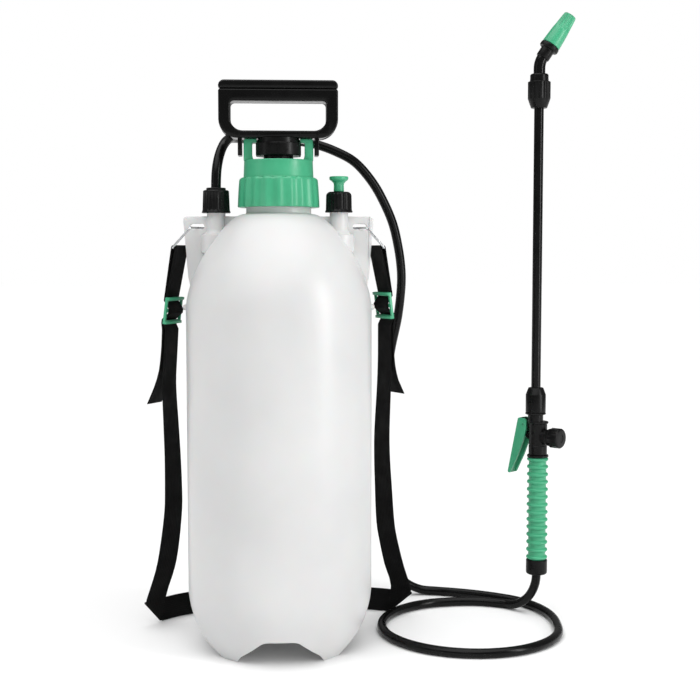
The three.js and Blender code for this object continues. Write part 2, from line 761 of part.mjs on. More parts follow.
// ---------- hose ----------
// The route leaves the outlet upwards, passes behind the pump, falls beside the tank and lies in one coil.
function hoseRoute() {
  const points = [V3(OUTLET_X, 0, HOSE_START), V3(OUTLET_X, 0, RISE_Z - 2)];
  const rise = 49; // radius of the arch over the outlet
  for (let a = 15; a <= 90; a += 15) {
    const out = rise * (1 - Math.cos(a * deg));
    points.push(V3(OUTLET_X + 0.33 * out, 0.94 * out, RISE_Z + rise * Math.sin(a * deg)));
  }
  const fall = [
    [-29, 66, 508], [-6, 73, 508], [20, 75, 507], [41, 75, 503], [59.2, 75, 496.5],
    [78.8, 75, 485.9], [98, 78, 464.8], [110.6, 82, 443.6], [119.9, 85, 422.3], [125.4, 88, 401],
    [128.9, 90, 379.5], [129.9, 92, 360], [127, 98, 325], [121, 105, 292.5], [116, 112, 258],
    [112.4, 118, 225.8], [111.9, 126, 191.7], [114.5, 138, 134.3], [118.2, 150, 87.2], [123, 158, 60],
    [131, 166, 34], [143, 171, 15.5], [160.1, 172, 6.5], [178, 169, 5], [192.6, 164, 5],
    [219, 153, 5], [244.4, 138, 5], [264.9, 121, 5], [280.7, 95, 5], [288.5, 64, 5],
  ];
  for (const [x, y, z] of fall) points.push(V3(x, y, z));
  for (let a = 0; a >= -270; a -= 22.5) {
    points.push(V3(LOOP_X + LOOP_R * Math.cos(a * deg), LOOP_Y + LOOP_R * Math.sin(a * deg), LYING_Z));
  }
  const climb = 42;
  const end = V3(GRIP_X, GRIP_Y, 0);
  const way = V3(241.3, 119.4, 0).sub(end).normalize();
  points.push(V3(220, 122.5, LYING_Z));
  for (let a = 0; a <= 90; a += 15) {
    const back = climb * (1 - Math.sin(a * deg));
    const up = climb * (1 - Math.cos(a * deg));
    points.push(V3(end.x + way.x * back, end.y + way.y * back, LYING_Z + up));
  }
  points.push(V3(GRIP_X, GRIP_Y, HOSE_END));
  return points;
}
const HOSE_END = 60;
add("hose", tube(hoseRoute(), HOSE_R, 90, 8, HOSE_BORE), "hose_black");

// ---------- handset ----------
// Built about its own axis with the trigger on -X, in a frame that is turned to face left and front.
const handset = frameAt(GRIP_X, GRIP_Y, 0);
handset.rotation.z = TRIGGER_YAW * deg;
const CORE_FOOT = 50;
const CORE_BORE = 3;
const CORE_FLANGE = 2;
const PIN_HOLE_R = TRIGGER_PIN_R + FIT;
// A rod across the handset on the trigger's axis.
const triggerAxle = (r, half) =>
  rod(r, -half, half, 12).rotate([90, 0, 0]).translate([TRIGGER_PIN_X, 0, TRIGGER_PIN_Z]);
const onValveAxis = (body) => body.rotate([0, 90, 0]).translate([0, 0, VALVE_AXIS_Z]); // laid along X

function makeGripCap() {
  return turned([
    [HOSE_R + FIT, GRIP_CAP_Z],
    [GRIP_CAP_R - 2.5, GRIP_CAP_Z],
    [GRIP_CAP_R, GRIP_CAP_Z + 3],
    [GRIP_CAP_R, GRIP_Z - FIT - 1],
    [GRIP_CAP_R - 1, GRIP_Z - FIT],
    [HOSE_R + FIT, GRIP_Z - FIT],
  ], 24);
}
add("grip_cap", makeGripCap(), "part_black", handset);

// The core carries the sleeve, and its foot is the barb the hose is pushed over.
function makeGripCore() {
  return turned([
    [DIP_TUBE_BORE, CORE_FOOT],
    [BARB_R, CORE_FOOT],
    [BARB_R, GRIP_Z],
    [GRIP_R - 1.8, GRIP_Z],
    [GRIP_R - 1.8, GRIP_END],
    [GRIP_CAP_R, GRIP_END],
    [GRIP_CAP_R, GRIP_END + CORE_FLANGE],
    [CORE_BORE, GRIP_END + CORE_FLANGE],
    [CORE_BORE, GRIP_Z + 3],
    [DIP_TUBE_BORE, GRIP_Z + 1],
  ], 24);
}
add("grip_core", makeGripCore(), "part_black", handset);

function makeGripSleeve() {
  const pitch = (GRIP_END - GRIP_Z - 5) / (GRIP_RINGS - 1);
  const profile = [[GRIP_R - 1.5, GRIP_Z]];
  for (let i = 0; i < GRIP_RINGS; i++) {
    const z = GRIP_Z + 2.4 + pitch * i;
    profile.push([GRIP_R, z - 2.4], [GRIP_RING_R, z - 1.1], [GRIP_RING_R, z + 1.1], [GRIP_R, z + 2.4]);
  }
  profile.push([GRIP_R - 1.5, GRIP_END - FIT]);
  return turned(profile, 16);
}
add("grip_sleeve", makeGripSleeve(), "part_green", handset);

const VALVE_Z = GRIP_END + CORE_FLANGE + FIT;
const BOSS_R = TRIGGER_W / 2 - 2.2 - FIT - 0.1; // fits between the trigger's walls
const BOSS_END = -13;
const PLUNGER_R = 2.2;
const KNOB_STUB_R = 3.5;
const PASSAGE_R = 2.5;
const NECK_FLANGE_T = 1.6;

function makeValveBody() {
  const body = turned([
    [0, VALVE_Z],
    [VALVE_R, VALVE_Z],
    [VALVE_R, VALVE_TOP - 2],
    [VALVE_R + 0.4, VALVE_TOP - 2],
    [VALVE_R + 0.4, VALVE_TOP],
    [0, VALVE_TOP],
  ], 24);
  const boss = onValveAxis(rod(BOSS_R, BOSS_END, 0, 20));
  const rear = onValveAxis(rod(8, 0, KNOB_IN - FIT, 24));
  const lug = box(TRIGGER_PIN_X - 3, -6, -BOSS_R, BOSS_R, TRIGGER_PIN_Z - 4, TRIGGER_PIN_Z + 4);
  const pinHole = triggerAxle(PIN_HOLE_R, TRIGGER_W);
  const plungerBore = onValveAxis(rod(PLUNGER_R + FIT, -20, -2, 16));
  const knobBore = onValveAxis(rod(KNOB_STUB_R + FIT, 5, 20, 16));
  const passage = rod(PASSAGE_R, VALVE_Z - 1, VALVE_TOP, 16);
  const seated = cut(join(body, boss, rear, lug), pinHole, plungerBore, knobBore, passage);
  // The neck stands on the lance's axis, which the turned frame sees a little off its own.
  const lanceAxis = V3(LANCE_X - GRIP_X, 0, 0).applyAxisAngle(V3(0, 0, 1), -TRIGGER_YAW * deg);
  const offset = [lanceAxis.x, lanceAxis.y, 0];
  const neck = turned([
    [PASSAGE_R, VALVE_TOP - 1],
    [8.2, VALVE_TOP - 1],
    [8.2, NUT_FLANGE_Z],
    [11, NUT_FLANGE_Z],
    [11, NUT_FLANGE_Z + NECK_FLANGE_T],
    [7.2, NUT_FLANGE_Z + NECK_FLANGE_T],
    [7.2, LANCE_FOOT - 0.5],
    [PASSAGE_R, LANCE_FOOT - 0.5],
  ], 24).translate(offset);
  const link = rod(PASSAGE_R, VALVE_TOP - 5, LANCE_FOOT, 16).translate(offset);
  return cut(join(seated, neck), link);
}
add("valve_body", makeValveBody(), "part_black", handset);

function makeRearKnob() {
  const grip = prism(ribbedOutline(KNOB_R, 0.7, 16, 4), KNOB_IN + 3, KNOB_OUT);
  const collar = rod(KNOB_R - 1.6, KNOB_IN, KNOB_IN + 4);
  const stub = rod(KNOB_STUB_R, KNOB_IN - 7, KNOB_IN + 1, 16);
  return onValveAxis(join(grip, collar, stub));
}
add("rear_knob", makeRearKnob(), "part_black", handset);

// A channel open towards the grip: an outer plate and two side walls.
const TRIGGER_WALL = 2.2;
const TRIGGER_PLATE = 2.5;
const TRIGGER_TOP = 215;
const TRIGGER_TOP_X = -21.2;
const TRIGGER_TIP_X = -34.2;
const TRIGGER_BACK_X = -10.8;
function makeTrigger() {
  const outline = [
    [TRIGGER_TOP_X, TRIGGER_TOP],
    [TRIGGER_TIP_X, TRIGGER_TIP_Z],
    [TRIGGER_TIP_X + 3.2, TRIGGER_TIP_Z - 1],
    [-21.5, 173],
    [-15, 189],
    [TRIGGER_BACK_X - 1, 200],
    [TRIGGER_BACK_X, 204],
    [TRIGGER_BACK_X, TRIGGER_TOP - 1],
  ];
  const wall = plate(outline, TRIGGER_W);
  const room = plate([
    [TRIGGER_TOP_X + TRIGGER_PLATE, TRIGGER_TOP + 5],
    [TRIGGER_TIP_X + TRIGGER_PLATE, TRIGGER_TIP_Z],
    [TRIGGER_TIP_X + 6, TRIGGER_TIP_Z - 10],
    [0, TRIGGER_TIP_Z - 10],
    [0, TRIGGER_TOP + 5],
  ], TRIGGER_W - 2 * TRIGGER_WALL);
  return cut(wall, room, triggerAxle(PIN_HOLE_R, TRIGGER_W));
}
add("trigger", makeTrigger(), "part_green", handset);

add("trigger_pin", triggerAxle(TRIGGER_PIN_R, TRIGGER_W / 2), "steel_wire", handset);

const PLUNGER_TIP = -22.6;
const PLUNGER_HEAD = 1.5;
const PLUNGER_TRAVEL = 3.1;
function makeValvePlunger() {
  return turned([
    [0, PLUNGER_TIP],
    [3.8, PLUNGER_TIP],
    [3.8, PLUNGER_TIP + PLUNGER_HEAD],
    [PLUNGER_R, PLUNGER_TIP + PLUNGER_HEAD],
    [PLUNGER_R, -6],
    [0, -6],
  ], 20);
}
add("valve_plunger", onValveAxis(makeValvePlunger()), "steel_wire", handset);

const VALVE_SPRING_IN = PLUNGER_TIP + PLUNGER_HEAD + FIT;
const VALVE_SPRING_OUT = BOSS_END - PLUNGER_TRAVEL - FIT;
const valveSpring = coil(3.1, 0.4, VALVE_SPRING_IN, VALVE_SPRING_OUT, 3);
add("valve_spring", onValveAxis(valveSpring), "steel_wire", handset);

// ---------- lance ----------
const lance = frameAt(LANCE_X, GRIP_Y, 0);

function makeLowerNut() {
  const grip = prism(ribbedOutline(LOWER_NUT_R, 0.6, 16, 4), LOWER_NUT_Z, LOWER_NUT_TOP);
  const envelope = turned([
    [0, LOWER_NUT_Z],
    [LOWER_NUT_R, LOWER_NUT_Z],
    [LOWER_NUT_R, LOWER_NUT_TOP - 7],
    [LOWER_NUT_R - 2.8, LOWER_NUT_TOP],
    [0, LOWER_NUT_TOP],
  ], 24);
  const thread = rod(7.6, LOWER_NUT_Z - 1, LANCE_FOOT + TURN);
  return cut(grip.intersect(envelope), thread, rod(LANCE_R + FIT, LANCE_FOOT, LOWER_NUT_TOP + 5));
}
add("lower_nut", makeLowerNut(), "part_black", lance);
add("lance_tube", pipe(LANCE_R, LANCE_BORE, LANCE_FOOT, LANCE_TOP), "part_black", lance);

function makeUpperNut() {
  const grip = prism(ribbedOutline(UPPER_NUT_R, 0.6, 16, 4), UPPER_NUT_Z, UPPER_NUT_TOP);
  const envelope = turned([
    [0, UPPER_NUT_Z],
    [8.3, UPPER_NUT_Z],
    [UPPER_NUT_R, UPPER_NUT_Z + 9.3],
    [UPPER_NUT_R, UPPER_NUT_TOP - 8.3],
    [9.7, UPPER_NUT_TOP - 8.3],
    [9.3, UPPER_NUT_TOP - 3],
    [8, UPPER_NUT_TOP],
    [0, UPPER_NUT_TOP],
  ], 24);
  return cut(
    grip.intersect(envelope),
    rod(LANCE_R + FIT, UPPER_NUT_Z - 1, LANCE_TOP + 2),
    rod(ELBOW_R + FIT, LANCE_TOP + 1, UPPER_NUT_TOP + 1),
  );
}
add("upper_nut", makeUpperNut(), "part_black", lance);

const NOZZLE_FOOT = 21; // along the tilted axis, from the bend
const OUTLET_STUB_R = 4;
const ELBOW_BORE = 2.8;
const tilted = (body) => body.rotate([0, ELBOW_TILT, 0]).translate([0, 0, ELBOW_Z]);

function makeElbow() {
  const upright = rod(ELBOW_R, LANCE_TOP + 2, ELBOW_Z);
  const knee = solid(new THREE.SphereGeometry(ELBOW_R, 24, 12)).translate([0, 0, ELBOW_Z]);
  const arm = turned([
    [0, 0],
    [ELBOW_R, 0],
    [ELBOW_R, 6],
    [7.2, 7],
    [7.2, 15.5],
    [10.3, 16.2],
    [10.3, NOZZLE_FOOT - FIT],
    [OUTLET_STUB_R, NOZZLE_FOOT - FIT],
    [OUTLET_STUB_R, NOZZLE_FOOT + 13],
    [0, NOZZLE_FOOT + 13],
  ], 24);
  const passageUp = rod(ELBOW_BORE, LANCE_TOP, ELBOW_Z, 16);
  const passageOut = tilted(rod(ELBOW_BORE, -1, NOZZLE_FOOT + 20, 16));
  return cut(join(upright, knee, tilted(arm)), passageUp, passageOut);
}
add("elbow", makeElbow(), "part_black", lance);

// The nozzle screws onto the elbow in a frame of its own, tilted with the elbow's arm.
const head = frameAt(0, 0, ELBOW_Z, lance);
head.rotation.y = ELBOW_TILT * deg;
const NOZZLE_GROOVES = 10;

function makeNozzle() {
  const end = NOZZLE_FOOT + NOZZLE_LEN;
  const body = turned([
    [OUTLET_STUB_R + FIT, NOZZLE_FOOT],
    [NOZZLE_R - 0.5, NOZZLE_FOOT],
    [NOZZLE_R, NOZZLE_FOOT + 0.8],
    [(NOZZLE_R + NOZZLE_TIP_R) / 2 + 0.5, NOZZLE_FOOT + NOZZLE_LEN / 2],
    [NOZZLE_TIP_R, end - 0.8],
    [NOZZLE_TIP_R - 0.8, end],
    [1, end],
    [1, NOZZLE_FOOT + 16],
    [OUTLET_STUB_R + FIT, NOZZLE_FOOT + 14.5],
  ], 24);
  const lean = Math.atan((NOZZLE_R - NOZZLE_TIP_R) / NOZZLE_LEN) / deg;
  const grooves = [];
  for (let i = 0; i < NOZZLE_GROOVES; i++) {
    const groove = rod(0.9, 0, NOZZLE_LEN, 8).rotate([0, -lean, 0]);
    const start = [(NOZZLE_R + NOZZLE_TIP_R) / 2 + 0.55, 0, NOZZLE_FOOT + NOZZLE_LEN / 2];
    grooves.push(groove.translate(start).rotate([0, 0, (360 / NOZZLE_GROOVES) * i]));
  }
  return cut(body, ...grooves);
}
add("nozzle", makeNozzle(), "part_green", head);

// ---------- strap, rings and buckles ----------
// side is -1 on the left and +1 on the right. alpha is how far the webbing's width turns from X towards +Y.
const across = (side, alpha) => V3(-side * Math.cos(alpha * deg), Math.sin(alpha * deg), 0);
const inward = (side, alpha) => V3(-side * Math.sin(alpha * deg), -Math.cos(alpha * deg), 0);
const moved = (p, v, distance) => p.clone().addScaledVector(v, distance);

const LOOP_ALPHA = 66;
const LAYER = WEB_T + FIT; // pitch of two layers of webbing
const UNDER_BAR = BUCKLE_T / 2 + FIT + WEB_T / 2; // webbing centre from the middle of a bar
const FOLD_GAP = WEB_T + 0.6;
const BUCKLE_TILT = 8;

// Each end of the strap: where the buckle sits, the run down to the floor as [x, y, z, alpha],
// the tail as [z, distance out from the run], and the two ends of the folded edge.
const ENDS = [
  {
    side: -1,
    buckle: V3(-104.5, 6, 335),
    run: [
      [-106, 9, 316, 65], [-108.3, 15, 288, 64], [-110.2, 20, 260, 63], [-109.4, 28, 218, 59],
      [-108.9, 36, 186, 56], [-108.9, 42, 154, 52], [-109.8, 48, 128, 49], [-114.8, 57, 88.5, 44],
      [-120, 63, 62, 42], [-130.5, 71, 29, 41],
    ],
    tail: [[316, 3.6], [300, 3.2], [275, 4.6], [257, 10], [240, 19]],
    foldTop: V3(-140.7, 65, 25.3),
    foldFoot: V3(-126, 80, 2.4),
  },
  {
    side: 1,
    buckle: V3(104, 6, 339.6),
    run: [
      [105, 9, 320, 65], [106, 19, 290, 64], [106.4, 30, 259, 62], [105.8, 48, 205, 57],
      [106.8, 57, 177, 54], [108.8, 66, 149, 50], [112.4, 79, 104, 44], [116.7, 85, 81, 41],
      [123, 90.5, 55, 37], [131, 96.5, 29, 33],
    ],
    tail: [[320, 3.6], [303, 3.2], [280, 4.6], [263, 9], [248, 17]],
    foldTop: V3(141, 90, 25.3),
    foldFoot: V3(118, 103, 2.4),
  },
];
const FLOOR_RUN = [
  [-112, 96.5], [-96, 106.5], [-72, 114.5], [-38, 120],
  [0, 121.5], [40, 120.5], [75, 117.5], [100, 112],
];

const station = (centre, side, alpha, face) => ({
  left: moved(centre, across(side, alpha), -WEB_W / 2),
  right: moved(centre, across(side, alpha), WEB_W / 2),
  face,
});

function ringFoot(side) {
  return V3(side * RING_FOOT_X, 0, RING_FOOT_Z);
}

// The buckle's own frame: up along the webbing and out of its face towards the tank.
function buckleFrame({ side, buckle }) {
  const n = inward(side, LOOP_ALPHA);
  const up = V3(0, 0, Math.cos(BUCKLE_TILT * deg)).addScaledVector(n, Math.sin(BUCKLE_TILT * deg));
  const out = n.clone().multiplyScalar(Math.cos(BUCKLE_TILT * deg));
  out.z -= Math.sin(BUCKLE_TILT * deg);
  const at = (t, o) => moved(moved(buckle, up, t), out, o);
  return { up, out, at };
}

// One layer up through the buckle: under the foot bar, over the middle, under the head bar.
function throughBuckle(end, under, over, sign) {
  const { out, at } = buckleFrame(end);
  const face = out.clone().multiplyScalar(sign);
  const reach = BUCKLE_H / 2 - BAR_H - 0.3;
  const places = [
    [-BUCKLE_H / 2, under],
    [-reach, under],
    [-BAR_H / 2 - 0.4, over],
    [BAR_H / 2 + 0.4, over],
    [reach, under],
    [BUCKLE_H / 2, under],
  ];
  return places.map(([t, o]) => station(at(t, o), end.side, LOOP_ALPHA, face));
}

// The webbing turned over the foot of the ring, from the outer layer to the inner one.
function overRing(side) {
  const n = inward(side, LOOP_ALPHA);
  const r = WIRE_R + FIT + WEB_T / 2;
  const stations = [];
  for (let a = 0; a <= 180; a += 30) {
    const radial = n.clone().multiplyScalar(-Math.cos(a * deg)).add(V3(0, 0, Math.sin(a * deg)));
    stations.push(station(moved(ringFoot(side), radial, r), side, LOOP_ALPHA, radial.negate()));
  }
  return stations;
}

function runAt(run, z) {
  const i = Math.max(0, run.findIndex((p) => p[2] <= z) - 1);
  const [a, b] = [run[i], run[i + 1]];
  const t = (z - a[2]) / (b[2] - a[2]);
  return a.map((value, k) => value + t * (b[k] - value));
}

// Tail tip, up the outer layer, over the ring, down the inner layer, down the run and round the fold.
function strapEnd(end) {
  const { side, run, tail, foldTop, foldFoot } = end;
  const stations = [];
  for (const [z, gap] of [...tail].reverse()) {
    const [x, y, , alpha] = runAt(run, z);
    const n = inward(side, alpha);
    stations.push(station(moved(V3(x, y, z), n, -gap), side, alpha, n));
  }
  stations.push(...throughBuckle(end, -UNDER_BAR - LAYER, UNDER_BAR, 1));
  stations.push(...overRing(side));
  stations.push(...throughBuckle(end, -UNDER_BAR, UNDER_BAR + LAYER, -1).reverse());
  for (const [x, y, z, alpha] of run) {
    stations.push(station(V3(x, y, z), side, alpha, inward(side, alpha).negate()));
  }
  const crease = foldFoot.clone().sub(foldTop);
  const flat = V3(crease.x, crease.y, 0).normalize();
  const n = V3(side * flat.y, -side * flat.x, 0);
  if (n.y > 0) n.negate();
  const e = crease.clone().normalize();
  const back = V3(0, 0, 1).addScaledVector(e, -e.z).normalize();
  const shift = (v, d) => ({ left: moved(foldTop, v, d), right: moved(foldFoot, v, d) });
  stations.push({ ...shift(n, 0), face: n.clone().negate() });
  const outside = n.clone().negate().add(back.clone().negate());
  stations.push({ ...shift(outside, FOLD_GAP / 2), face: back });
  stations.push({ ...shift(n, -FOLD_GAP), face: n });
  const start = moved(moved(foldFoot, flat, 2), n, -FOLD_GAP);
  stations.push(edgeStation(start.x, start.y, n));
  return stations;
}

// The floor stretch stands on its edge.
const edgeStation = (x, y, face) => ({ left: V3(x, y, WEB_W + 0.4), right: V3(x, y, 0.4), face });

function makeStrap() {
  const [leftEnd, rightEnd] = ENDS.map(strapEnd);
  const floor = FLOOR_RUN.map(([x, y], i) => {
    const [x0, y0] = FLOOR_RUN[Math.max(0, i - 1)];
    const [x1, y1] = FLOOR_RUN[Math.min(FLOOR_RUN.length - 1, i + 1)];
    return edgeStation(x, y, V3(y1 - y0, -(x1 - x0), 0).normalize());
  });
  return ribbon([...leftEnd, ...floor, ...rightEnd.reverse()], WEB_T);
}
add("carry_strap", makeStrap(), "webbing_black");

// A straight round bar with ball ends between two points.
function bar(p, q, r, segments = 6) {
  const way = q.clone().sub(p);
  const geometry = new THREE.CylinderGeometry(r, r, way.length(), segments).rotateX(90 * deg);
  const turn = new THREE.Matrix4().lookAt(p, q, V3(0, 0, 1));
  const middle = p.clone().add(q).multiplyScalar(0.5);
  geometry.applyMatrix4(turn).translate(middle.x, middle.y, middle.z);
  const ball = (c) => solid(new THREE.SphereGeometry(r * 1.02, segments, 4)).translate([c.x, c.y, c.z]);
  return join(solid(geometry), ball(p), ball(q));
}

function makeRing(side) {
  const w = across(side, LOOP_ALPHA);
  const head = V3(side * SLOT_X, 0, SLOT_Z - SLOT_H / 2 + FIT + WIRE_R);
  const foot = ringFoot(side);
  const corners = [
    moved(head, w, -RING_W / 2),
    moved(head, w, RING_W / 2),
    moved(foot, w, RING_W / 2),
    moved(foot, w, -RING_W / 2),
  ];
  return join(...corners.map((p, i) => bar(p, corners[(i + 1) % 4], WIRE_R)));
}

function makeBuckle() {
  const half = BUCKLE_H / 2;
  const frame = box(-BUCKLE_W / 2, BUCKLE_W / 2, -half, half, -BUCKLE_T / 2, BUCKLE_T / 2);
  const slotHalf = WEB_W / 2 + 1;
  const slot = box(-slotHalf, slotHalf, BAR_H / 2, half - BAR_H, -BUCKLE_T, BUCKLE_T);
  const lip = (sign) => {
    const y = sign * (half - LIP_H / 2);
    const [w, h, t] = [BUCKLE_W / 2, LIP_H / 2, BUCKLE_T / 2];
    return box(-w, w, y - h, y + h, -t, t + LIP_OUT);
  };
  const ladder = cut(frame, slot, slot.mirror([0, 1, 0]));
  return join(ladder, lip(1), lip(-1));
}

function sideName(side) {
  return side < 0 ? "left" : "right";
}
for (const end of ENDS) {
  add("strap_ring_" + sideName(end.side), makeRing(end.side), "steel_wire");
  const { up, out } = buckleFrame(end);
  const width = across(end.side, LOOP_ALPHA).multiplyScalar(-end.side);
  const axes = new THREE.Matrix4().makeBasis(width, up, out);
  const buckle = frameAt(...end.buckle);
  buckle.setRotationFromMatrix(axes);
  add("strap_buckle_" + sideName(end.side), makeBuckle(), "part_green", buckle);
}

// ---------- centring ----------
// The footprint of everything but the hose is centred on the origin, with its foot at z = 0.
group.updateMatrixWorld(true);
const bounds = new THREE.Box3();
group.traverse((piece) => {
  if (piece.isMesh && piece.name !== "hose") bounds.expandByObject(piece, true);
});
const middle = bounds.getCenter(V3(0, 0, 0));
group.position.set(-middle.x, -middle.y, -bounds.min.z);
group.updateMatrixWorld(true);

export default group;
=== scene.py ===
# %% [markdown]
# # A pump sprayer, finished in Blender
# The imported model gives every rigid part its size, its place and its motion. This lesson gives it its looks:
# round parts with smooth outlines, moulded plastics, a woven strap and a rubber hose. All lengths below are in
# millimetres and are turned into Blender's metres as each piece is made.

# %% Load the fixed frame
import json
import math

import bpy
from mathutils import Matrix, Vector


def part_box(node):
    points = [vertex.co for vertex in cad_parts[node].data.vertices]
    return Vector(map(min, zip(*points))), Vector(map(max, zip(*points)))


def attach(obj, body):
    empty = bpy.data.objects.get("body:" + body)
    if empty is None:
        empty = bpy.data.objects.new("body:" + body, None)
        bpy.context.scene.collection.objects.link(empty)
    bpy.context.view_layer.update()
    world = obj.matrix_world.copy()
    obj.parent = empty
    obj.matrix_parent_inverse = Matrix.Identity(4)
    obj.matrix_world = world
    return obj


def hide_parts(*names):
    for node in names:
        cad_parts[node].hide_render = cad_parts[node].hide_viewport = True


MM = 0.001
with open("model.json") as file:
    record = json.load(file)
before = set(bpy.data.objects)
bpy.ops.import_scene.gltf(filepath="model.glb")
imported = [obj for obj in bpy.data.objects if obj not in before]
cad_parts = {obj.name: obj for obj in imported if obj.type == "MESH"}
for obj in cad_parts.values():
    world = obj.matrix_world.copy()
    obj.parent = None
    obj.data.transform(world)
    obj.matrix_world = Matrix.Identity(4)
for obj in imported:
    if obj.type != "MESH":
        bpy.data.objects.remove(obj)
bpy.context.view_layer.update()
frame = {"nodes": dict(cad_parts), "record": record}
nodes = frame["nodes"]

# %% [markdown]
# ## The axes that everything is built around
# The tank, the two spigots on its shoulder, the hand grip and the lance are all turned parts, so the middle of
# each one's box is a point on its axis. Reading them from the frame keeps every new piece where the old one is.

# %% Axes
def middle(node):
    low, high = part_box(node)
    return Vector(((low.x + high.x) / 2, (low.y + high.y) / 2, 0.0))


TANK = middle("pump_barrel")
OUTLET = middle("outlet_nut")
RELIEF = middle("relief_cap")
GRIP = middle("grip_sleeve")
LANCE = middle("lance_tube")
TRIGGER_YAW = math.radians(-45)
print("tank axis at", tuple(round(c, 4) for c in TANK))


def at_tank(x, y, z):
    """A point given in millimetres from the tank's axis at the floor."""
    return TANK + Vector((x, y, z)) * MM


# %% [markdown]
# ## The camera
# It stands in front of the tank, a little above half its height, and is turned slightly to the right so that the
# lance fits in. A long lens keeps the tank's sides almost upright.

# %% Camera
CAMERA_DISTANCE = 1236.4
CAMERA_HEIGHT = 388.9
CAMERA_PITCH = math.radians(4.32)
CAMERA_YAW = math.radians(3.24)
FOCAL_SHARE = 1252.5 / 700  # focal length as a share of the frame's width

bpy.ops.object.select_all(action="DESELECT")
bpy.ops.object.camera_add(
    location=at_tank(0, -CAMERA_DISTANCE, CAMERA_HEIGHT),
    rotation=(math.pi / 2 - CAMERA_PITCH, 0, -CAMERA_YAW),
)
camera = bpy.context.object
camera.data.lens = 36 * FOCAL_SHARE
camera.data.clip_end = 20
bpy.context.scene.camera = camera

# %% [markdown]
# ## Materials
# Moulded plastic is never one flat colour. The pigment clouds a little, the surface has a fine grain from the
# mould, and its gloss changes from place to place. One recipe with different amounts gives every plastic here.

# %% A recipe for moulded plastic and rubber
def shader_tree(name):
    material = bpy.data.materials.new(name)
    material.use_nodes = True
    tree = material.node_tree
    shader = tree.nodes["Principled BSDF"]
    place = tree.nodes.new("ShaderNodeTexCoord")
    return material, tree, shader, place


def noise(tree, place, scale, detail=3.0, output="Object"):
    node = tree.nodes.new("ShaderNodeTexNoise")
    node.inputs["Scale"].default_value = scale
    node.inputs["Detail"].default_value = detail
    tree.links.new(place.outputs[output], node.inputs["Vector"])
    return node


def spread(tree, source, low, high):
    """Stretches a noise around its middle to run from low to high."""
    node = tree.nodes.new("ShaderNodeMapRange")
    node.inputs["From Min"].default_value = 0.3
    node.inputs["From Max"].default_value = 0.7
    node.inputs["To Min"].default_value = low
    node.inputs["To Max"].default_value = high
    tree.links.new(source.outputs["Fac"], node.inputs["Value"])
    return node


def two_tones(tree, source, dark, light):
    ramp = tree.nodes.new("ShaderNodeValToRGB")
    ramp.color_ramp.elements[0].position = 0.35
    ramp.color_ramp.elements[0].color = (*dark, 1)
    ramp.color_ramp.elements[1].position = 0.65
    ramp.color_ramp.elements[1].color = (*light, 1)
    tree.links.new(source.outputs["Fac"], ramp.inputs["Fac"])
    return ramp


def bump(tree, height, strength, distance_mm):
    node = tree.nodes.new("ShaderNodeBump")
    node.inputs["Strength"].default_value = strength
    node.inputs["Distance"].default_value = distance_mm * MM
    tree.links.new(height, node.inputs["Height"])
    return node


def moulded(
    name, dark, light, rough, cloud=18, grain=2600, grain_mm=0.05, strength=0.25, metallic=0.0, gloss=0.5
):
    """dark and light are the clouded colour; rough is the lowest and highest roughness."""
    material, tree, shader, place = shader_tree(name)
    clouds = noise(tree, place, cloud)
    colour = two_tones(tree, clouds, dark, light)
    tree.links.new(colour.outputs["Color"], shader.inputs["Base Color"])
    patches = noise(tree, place, cloud * 4)
    tree.links.new(spread(tree, patches, *rough).outputs["Result"], shader.inputs["Roughness"])
    fine = noise(tree, place, grain, 2.0)
    relief = bump(tree, fine.outputs["Fac"], strength, grain_mm)
    tree.links.new(relief.outputs["Normal"], shader.inputs["Normal"])
    shader.inputs["Metallic"].default_value = metallic
    shader.inputs["Specular IOR Level"].default_value = gloss
    return material


# %% The plastics, rubber and steel
tank_plastic = moulded(
    "white_blown_plastic", (0.61, 0.612, 0.612), (0.66, 0.66, 0.657), (0.30, 0.40), cloud=9, grain=900,
    grain_mm=0.08, strength=0.12,
)
tank_plastic.node_tree.nodes["Principled BSDF"].inputs["Subsurface Weight"].default_value = 0.12
tank_plastic.node_tree.nodes["Principled BSDF"].inputs["Subsurface Scale"].default_value = 0.004
green_plastic = moulded(
    "green_moulded_plastic", (0.042, 0.34, 0.172), (0.056, 0.385, 0.202), (0.30, 0.42), cloud=30, grain=3200,
    grain_mm=0.04, strength=0.2,
)
black_plastic = moulded(
    "black_moulded_plastic", (0.003, 0.003, 0.003), (0.006, 0.006, 0.006), (0.24, 0.36), cloud=40, grain=3500,
    grain_mm=0.05, strength=0.25, gloss=0.16,
)
gloss_black = moulded(
    "black_gloss_plastic", (0.003, 0.003, 0.003), (0.005, 0.005, 0.005), (0.12, 0.2), cloud=25, grain=1500,
    grain_mm=0.03, strength=0.12, gloss=0.16,
)
hose_rubber = moulded(
    "black_hose_rubber", (0.002, 0.002, 0.002), (0.004, 0.004, 0.004), (0.20, 0.30), cloud=35, grain=1800,
    grain_mm=0.04, strength=0.2, gloss=0.16,
)
seal_rubber = moulded("black_seal_rubber", (0.02, 0.02, 0.02), (0.03, 0.03, 0.03), (0.55, 0.7))
steel = moulded(
    "drawn_steel", (0.50, 0.51, 0.52), (0.62, 0.63, 0.64), (0.22, 0.34), cloud=120, grain=5000, metallic=1.0
)
valve_plastic = moulded("white_valve_plastic", (0.74, 0.74, 0.72), (0.80, 0.80, 0.78), (0.35, 0.45))

SLOT_FINISH = {
    "tank_white": tank_plastic,
    "part_green": green_plastic,
    "part_black": black_plastic,
    "hose_black": hose_rubber,
    "seal_rubber": seal_rubber,
    "steel_wire": steel,
    "valve_white": valve_plastic,
}

# %% Give every carried-over part its finish
slot_of = {part["node"]: part["material_slot"] for part in frame["record"]["subparts"]}


def set_finish(piece, material):
    piece.data.materials.clear()
    piece.data.materials.append(material)


